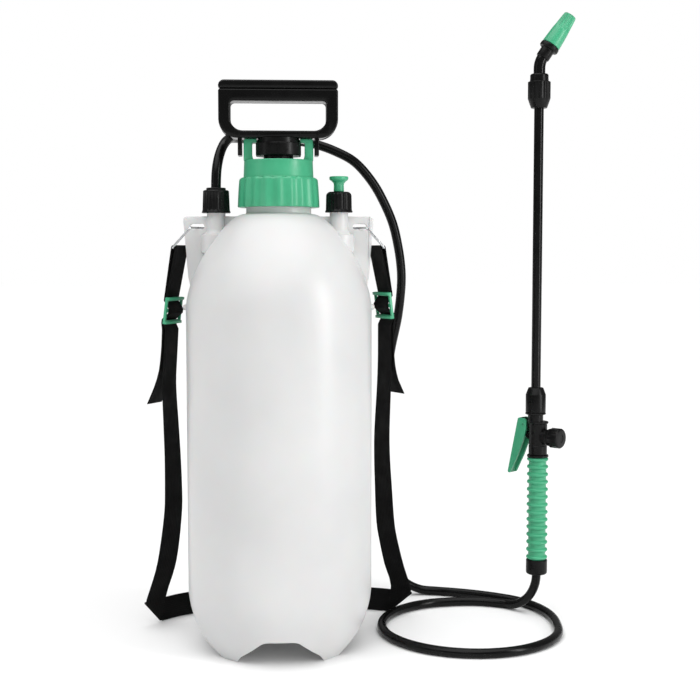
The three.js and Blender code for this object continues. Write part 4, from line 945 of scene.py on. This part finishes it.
ENDS = [
    {
        "side": -1,
        "buckle": Vector((-104.5, 6, 335)),
        "run": [
            (-106, 9, 316, 65), (-108.3, 15, 288, 64), (-110.2, 20, 260, 63), (-109.4, 28, 218, 59),
            (-108.9, 36, 186, 56), (-108.9, 42, 154, 52), (-109.8, 48, 128, 49), (-114.8, 57, 88.5, 44),
            (-120, 63, 62, 42), (-130.5, 71, 29, 41),
        ],
        "tail": [(316, 3.6), (300, 3.2), (275, 4.6), (257, 10), (240, 19)],
        "fold_top": Vector((-140.7, 65, 25.3)),
        "fold_foot": Vector((-126, 80, 2.4)),
    },
    {
        "side": 1,
        "buckle": Vector((104, 6, 339.6)),
        "run": [
            (105, 9, 320, 65), (106, 19, 290, 64), (106.4, 30, 259, 62), (105.8, 48, 205, 57), (106.8, 57, 177, 54),
            (108.8, 66, 149, 50), (112.4, 79, 104, 44), (116.7, 85, 81, 41), (123, 90.5, 55, 37), (131, 96.5, 29, 33),
        ],
        "tail": [(320, 3.6), (303, 3.2), (280, 4.6), (263, 9), (248, 17)],
        "fold_top": Vector((141, 90, 25.3)),
        "fold_foot": Vector((118, 103, 2.4)),
    },
]
FLOOR_RUN = [
    (-112, 96.5), (-96, 106.5), (-72, 114.5), (-38, 120), (0, 121.5), (40, 120.5), (75, 117.5), (100, 112),
]
UP = Vector((0, 0, 1))


def across(side, alpha):
    a = math.radians(alpha)
    return Vector((-side * math.cos(a), math.sin(a), 0))


def inward(side, alpha):
    a = math.radians(alpha)
    return Vector((-side * math.sin(a), -math.cos(a), 0))


def station(centre, side, alpha, face):
    half = across(side, alpha) * (WEB_W / 2)
    return (centre - half, centre + half, face)


# %% Through the buckle and over the ring
def buckle_frame(end):
    n = inward(end["side"], LOOP_ALPHA)
    up = UP * math.cos(BUCKLE_TILT) + n * math.sin(BUCKLE_TILT)
    out = n * math.cos(BUCKLE_TILT) - UP * math.sin(BUCKLE_TILT)
    return up, out


def through_buckle(end, under, over, sign):
    up, out = buckle_frame(end)
    reach = BUCKLE_H / 2 - BAR_H - 0.3
    places = [
        (-BUCKLE_H / 2, under), (-reach, under), (-BAR_H / 2 - 0.4, over), (BAR_H / 2 + 0.4, over), (reach, under),
        (BUCKLE_H / 2, under),
    ]
    return [station(end["buckle"] + up * t + out * o, end["side"], LOOP_ALPHA, out * sign) for t, o in places]


def ring_foot(side):
    return Vector((side * RING_FOOT[0], 0, RING_FOOT[1]))


def over_ring(side):
    n = inward(side, LOOP_ALPHA)
    r = WIRE_R + FIT + WEB_T / 2
    stations = []
    for a in range(0, 181, 15):
        radial = n * -math.cos(math.radians(a)) + UP * math.sin(math.radians(a))
        stations.append(station(ring_foot(side) + radial * r, side, LOOP_ALPHA, -radial))
    return stations


# %% Down the run and round the fold
def run_at(run, z):
    i = max(0, next(k for k, p in enumerate(run) if p[2] <= z) - 1)
    a, b = run[i], run[i + 1]
    t = (z - a[2]) / (b[2] - a[2])
    return [u + t * (v - u) for u, v in zip(a, b)]


def edge_station(x, y, face):
    return (Vector((x, y, WEB_W + 0.4)), Vector((x, y, 0.4)), face)


def strap_end(end):
    side, run = end["side"], end["run"]
    stations = []
    for z, gap in reversed(end["tail"]):
        x, y, _, alpha = run_at(run, z)
        n = inward(side, alpha)
        stations.append(station(Vector((x, y, z)) - n * gap, side, alpha, n))
    stations += through_buckle(end, -UNDER_BAR - LAYER, UNDER_BAR, 1)
    stations += over_ring(side)
    stations += through_buckle(end, -UNDER_BAR, UNDER_BAR + LAYER, -1)[::-1]
    for x, y, z, alpha in run:
        stations.append(station(Vector((x, y, z)), side, alpha, -inward(side, alpha)))
    top, foot = end["fold_top"], end["fold_foot"]
    flat = Vector((foot.x - top.x, foot.y - top.y, 0)).normalized()
    n = Vector((side * flat.y, -side * flat.x, 0))
    if n.y > 0:
        n = -n
    crease = (foot - top).normalized()
    back = (UP - crease * crease.z).normalized()
    stations.append((top, foot, -n))
    for a in (45, 90, 135):
        turn = math.radians(a)
        shift = -n * (1 - math.cos(turn)) * FOLD_GAP / 2 - back * math.sin(turn) * FOLD_GAP / 2
        stations.append((top + shift, foot + shift, (back * math.sin(turn) - n * math.cos(turn)).normalized()))
    stations.append((top - n * FOLD_GAP, foot - n * FOLD_GAP, n))
    start = foot + flat * 2 - n * FOLD_GAP
    stations.append(edge_station(start.x, start.y, n))
    return stations


def strap_stations():
    left, right = (strap_end(end) for end in ENDS)
    floor = []
    for i, (x, y) in enumerate(FLOOR_RUN):
        x0, y0 = FLOOR_RUN[max(0, i - 1)]
        x1, y1 = FLOOR_RUN[min(len(FLOOR_RUN) - 1, i + 1)]
        floor.append(edge_station(x, y, Vector((y1 - y0, x0 - x1, 0)).normalized()))
    return left + floor + right[::-1]


# %% Fill in between the stations
def eased(stations, longest=9):
    """Adds smooth in-between stations wherever two lie further apart than longest."""
    filled = []
    for i in range(len(stations) - 1):
        s1, s2 = stations[i], stations[i + 1]
        s0 = stations[max(0, i - 1)]
        s3 = stations[min(len(stations) - 1, i + 2)]
        middle1, middle2 = (s1[0] + s1[1]) / 2, (s2[0] + s2[1]) / 2
        gap = (middle2 - middle1).length
        steps = max(1, round(gap / longest))
        before = ((s1[0] + s1[1]) / 2 - (s0[0] + s0[1]) / 2).length
        after = ((s3[0] + s3[1]) / 2 - (s2[0] + s2[1]) / 2).length
        even = steps > 1 and before > 8 and after > 8
        for k in range(steps):
            t = k / steps
            parts = []
            for p0, p1, p2, p3 in zip(s0[:2], s1[:2], s2[:2], s3[:2]):
                if even:
                    m1 = (p2 - p0) * (gap / (gap + before))
                    m2 = (p3 - p1) * (gap / (gap + after))
                    h = (2 * t**3 - 3 * t**2 + 1, t**3 - 2 * t**2 + t, -2 * t**3 + 3 * t**2, t**3 - t**2)
                    parts.append(p1 * h[0] + m1 * h[1] + p2 * h[2] + m2 * h[3])
                else:
                    parts.append(p1.lerp(p2, t))
            filled.append((*parts, s1[2].lerp(s2[2], t).normalized()))
    filled.append(stations[-1])
    return filled


# %% Build the band
WEB_CORNER = 0.45


def webbing(name, stations):
    """Eight points round each station: a flat band with soft selvedges. u runs across it and v along it."""
    corners = []
    half_w, half_t = WEB_W / 2, WEB_T / 2
    for w, t in (
        (-half_w + WEB_CORNER, half_t), (0, half_t), (half_w - WEB_CORNER, half_t), (half_w, 0),
        (half_w - WEB_CORNER, -half_t), (0, -half_t), (-half_w + WEB_CORNER, -half_t), (-half_w, 0),
    ):
        corners.append((w, t))
    verts, faces, lengths = [], [], [0.0]
    for i, (left, right, face) in enumerate(stations):
        centre, unit = (left + right) / 2, (right - left) / WEB_W
        if i:
            before = stations[i - 1]
            lengths.append(lengths[-1] + (centre - (before[0] + before[1]) / 2).length)
        for w, t in corners:
            verts.append((TANK + (centre + unit * w + face * t) * MM)[:])
    count = len(corners)
    uvs = []
    for i in range(len(stations) - 1):
        for k in range(count):
            a, b = i * count + k, i * count + (k + 1) % count
            faces.append((a, a + count, b + count, b))
            u0, u1 = (corners[k][0] + half_w) / WEB_W, (corners[(k + 1) % count][0] + half_w) / WEB_W
            v0, v1 = lengths[i] / WEB_W, lengths[i + 1] / WEB_W
            uvs += [(u0, v0), (u0, v1), (u1, v1), (u1, v0)]
    for ring, v in ((range(count), 0.0), (range(len(verts) - 1, len(verts) - 1 - count, -1), lengths[-1] / WEB_W)):
        ring = list(ring)
        faces.append(tuple(ring))
        uvs += [((corners[i % count][0] + half_w) / WEB_W, v) for i in ring]
    mesh = bpy.data.meshes.new(name)
    mesh.from_pydata(verts, [], faces)
    layer = mesh.uv_layers.new(name="UVMap")
    for loop, uv in zip(layer.data, uvs):
        loop.uv = uv
    piece = bpy.data.objects.new(name, mesh)
    bpy.context.scene.collection.objects.link(piece)
    pick(piece, lambda co: True)
    bpy.ops.mesh.select_all(action="SELECT")
    bpy.ops.mesh.normals_make_consistent(inside=False)
    leave_edit()
    smooth(piece, 50)
    return piece, lengths[-1]


# %% [markdown]
# ## Woven webbing
# Nylon webbing shows a row of fine chevrons across its face. Two waves along the band's own length and width give
# the raised threads, and the selvedges stay a little smoother. The pattern follows the band's UVs, so it turns with
# every fold.

# %% Webbing finish
def webbing_finish():
    material, tree, shader, place = shader_tree("black_woven_webbing")
    stretch = tree.nodes.new("ShaderNodeMapping")
    stretch.inputs["Scale"].default_value = (1, 1, 1)
    tree.links.new(place.outputs["UV"], stretch.inputs["Vector"])

    def thread(scale, direction):
        wave = tree.nodes.new("ShaderNodeTexWave")
        wave.wave_type = "BANDS"
        wave.bands_direction = direction
        wave.wave_profile = "SIN"
        wave.inputs["Scale"].default_value = scale
        tree.links.new(stretch.outputs["Vector"], wave.inputs["Vector"])
        return wave

    length_ribs = thread(3.6, "X")
    picks = thread(7.2, "Y")
    weave = tree.nodes.new("ShaderNodeMath")
    weave.operation = "MULTIPLY"
    tree.links.new(length_ribs.outputs["Fac"], weave.inputs[0])
    tree.links.new(picks.outputs["Fac"], weave.inputs[1])
    relief = bump(tree, weave.outputs["Value"], 0.8, 0.35)
    tree.links.new(relief.outputs["Normal"], shader.inputs["Normal"])
    ramp = two_tones(tree, picks, (0.002, 0.002, 0.002), (0.006, 0.006, 0.006))
    tree.links.new(ramp.outputs["Color"], shader.inputs["Base Color"])
    fuzz = noise(tree, place, 60, 2.0)
    tree.links.new(spread(tree, fuzz, 0.62, 0.8).outputs["Result"], shader.inputs["Roughness"])
    shader.inputs["Specular IOR Level"].default_value = 0.1
    return material


webbing_black = webbing_finish()
strap, strap_length = webbing("shoulder_strap", eased(strap_stations()))
belongs(strap, "tank_body", "webbing_black", webbing_black, "carry_strap")
print("webbing length in mm:", round(strap_length))

# %% [markdown]
# ## Rings and buckles
# Each ring is bent from thin wire and hangs in its tab's slot. Each green buckle is a ladder of three bars with the
# webbing woven over the middle one.

# %% Wire rings
def wire_ring(name, side):
    w = across(side, LOOP_ALPHA)
    head = Vector((side * RING_HEAD[0], 0, RING_HEAD[1]))
    foot = ring_foot(side)
    corners = [head - w * (RING_W / 2), head + w * (RING_W / 2), foot + w * (RING_W / 2), foot - w * (RING_W / 2)]
    line = []
    bend = 2.6
    for i, corner in enumerate(corners):
        before = (corners[i - 1] - corner).normalized() * bend
        after = (corners[(i + 1) % 4] - corner).normalized() * bend
        for k in range(6):
            t = k / 5
            line.append(corner + before * (1 - t) ** 2 + after * t * t)
    curve = bpy.data.curves.new(name, "CURVE")
    curve.dimensions = "3D"
    curve.bevel_depth = WIRE_R * MM
    curve.bevel_resolution = 4
    spline = curve.splines.new("POLY")
    spline.points.add(len(line) - 1)
    for point, p in zip(spline.points, line):
        point.co = (*(TANK + p * MM), 1)
    spline.use_cyclic_u = True
    piece = bpy.data.objects.new(name, curve)
    bpy.context.scene.collection.objects.link(piece)
    only(piece)
    bpy.ops.object.convert(target="MESH")
    piece = bpy.context.object
    smooth(piece, 60)
    return piece


# %% Ladder buckles
def ladder_buckle(name, end):
    half = BUCKLE_H / 2
    body = block(name, -BUCKLE_W / 2, BUCKLE_W / 2, -half, half, -BUCKLE_T / 2, BUCKLE_T / 2)
    slot_half = WEB_W / 2 + 1
    for sign in (-1, 1):
        low, high = sorted((sign * BAR_H / 2, sign * (half - BAR_H)))
        combine(body, block("slot", -slot_half, slot_half, low, high, -5, 5))
    for sign in (-1, 1):
        low, high = sorted((sign * half, sign * (half - 2.6)))
        combine(body, block("lip", -BUCKLE_W / 2 + 0.2, BUCKLE_W / 2 - 0.2, low, high, 0, BUCKLE_T / 2 + 1.5), "UNION")
    round_edges(body, 0.55, 3, 40)
    up, out = buckle_frame(end)
    turn = Matrix((across(end["side"], LOOP_ALPHA), up, out)).transposed()
    only(body)
    body.matrix_world = Matrix.Translation(TANK + end["buckle"] * MM) @ turn.to_4x4()
    bpy.ops.object.transform_apply(location=True, rotation=True, scale=True)
    return body


for end, word in zip(ENDS, ("left", "right")):
    ring = wire_ring("wire_ring_" + word, end["side"])
    belongs(ring, "tank_body", "steel_wire", steel, "strap_ring_" + word)
    buckle = ladder_buckle("ladder_buckle_" + word, end)
    belongs(buckle, "tank_body", "part_green", green_plastic, "strap_buckle_" + word)

# %% [markdown]
# ## Floor and light
# A plain pale floor and large soft lights on both sides give white plastic its shape by long gentle reflections.

# %% Floor
bpy.ops.object.select_all(action="DESELECT")
bpy.ops.mesh.primitive_plane_add(size=30, location=(0, 0, 0))
floor = bpy.context.object
floor.name = "floor"
floor_finish, floor_tree, floor_shader, floor_place = shader_tree("pale_floor")
floor_shader.inputs["Base Color"].default_value = (0.9, 0.9, 0.9, 1)
floor_shader.inputs["Roughness"].default_value = 0.9
floor_shader.inputs["Specular IOR Level"].default_value = 0
set_finish(floor, floor_finish)

# %% Light
def soft_light(name, place, target, size, power):
    bpy.ops.object.select_all(action="DESELECT")
    way = Vector(target) - Vector(place)
    bpy.ops.object.light_add(type="AREA", location=place, rotation=way.to_track_quat("-Z", "Y").to_euler())
    light = bpy.context.object
    light.name = name
    light.data.shape = "RECTANGLE"
    light.data.size, light.data.size_y = size
    light.data.energy = power
    return light


soft_light("left_softbox", (-1.7, -0.6, 0.7), (0, 0, 0.3), (0.3, 1.5), 2)
soft_light("right_softbox", (1.6, -1.1, 0.8), (0, 0, 0.3), (0.35, 1.5), 20)
bpy.ops.object.select_all(action="DESELECT")
bpy.ops.object.light_add(type="SUN", location=(0, 0, 2), rotation=(math.radians(14), math.radians(-10), 0))
overhead = bpy.context.object
overhead.name = "overhead_softbox"
overhead.data.energy = 3.0
overhead.data.angle = math.radians(80)

# The backdrop is white to look at, but it lights the object with less, as a studio's far walls do.
world = bpy.data.worlds.new("studio")
bpy.context.scene.world = world
world.use_nodes = True
world_tree = world.node_tree
fill = world_tree.nodes["Background"]
fill.inputs["Color"].default_value = (1, 1, 1, 1)
fill.inputs["Strength"].default_value = 0.22
backdrop = world_tree.nodes.new("ShaderNodeBackground")
backdrop.inputs["Color"].default_value = (1, 1, 1, 1)
backdrop.inputs["Strength"].default_value = 1.0
seen = world_tree.nodes.new("ShaderNodeLightPath")
either = world_tree.nodes.new("ShaderNodeMixShader")
world_tree.links.new(seen.outputs["Is Camera Ray"], either.inputs["Fac"])
world_tree.links.new(fill.outputs["Background"], either.inputs[1])
world_tree.links.new(backdrop.outputs["Background"], either.inputs[2])
world_tree.links.new(either.outputs["Shader"], world_tree.nodes["World Output"].inputs["Surface"])
bpy.context.scene.view_settings.view_transform = "Standard"
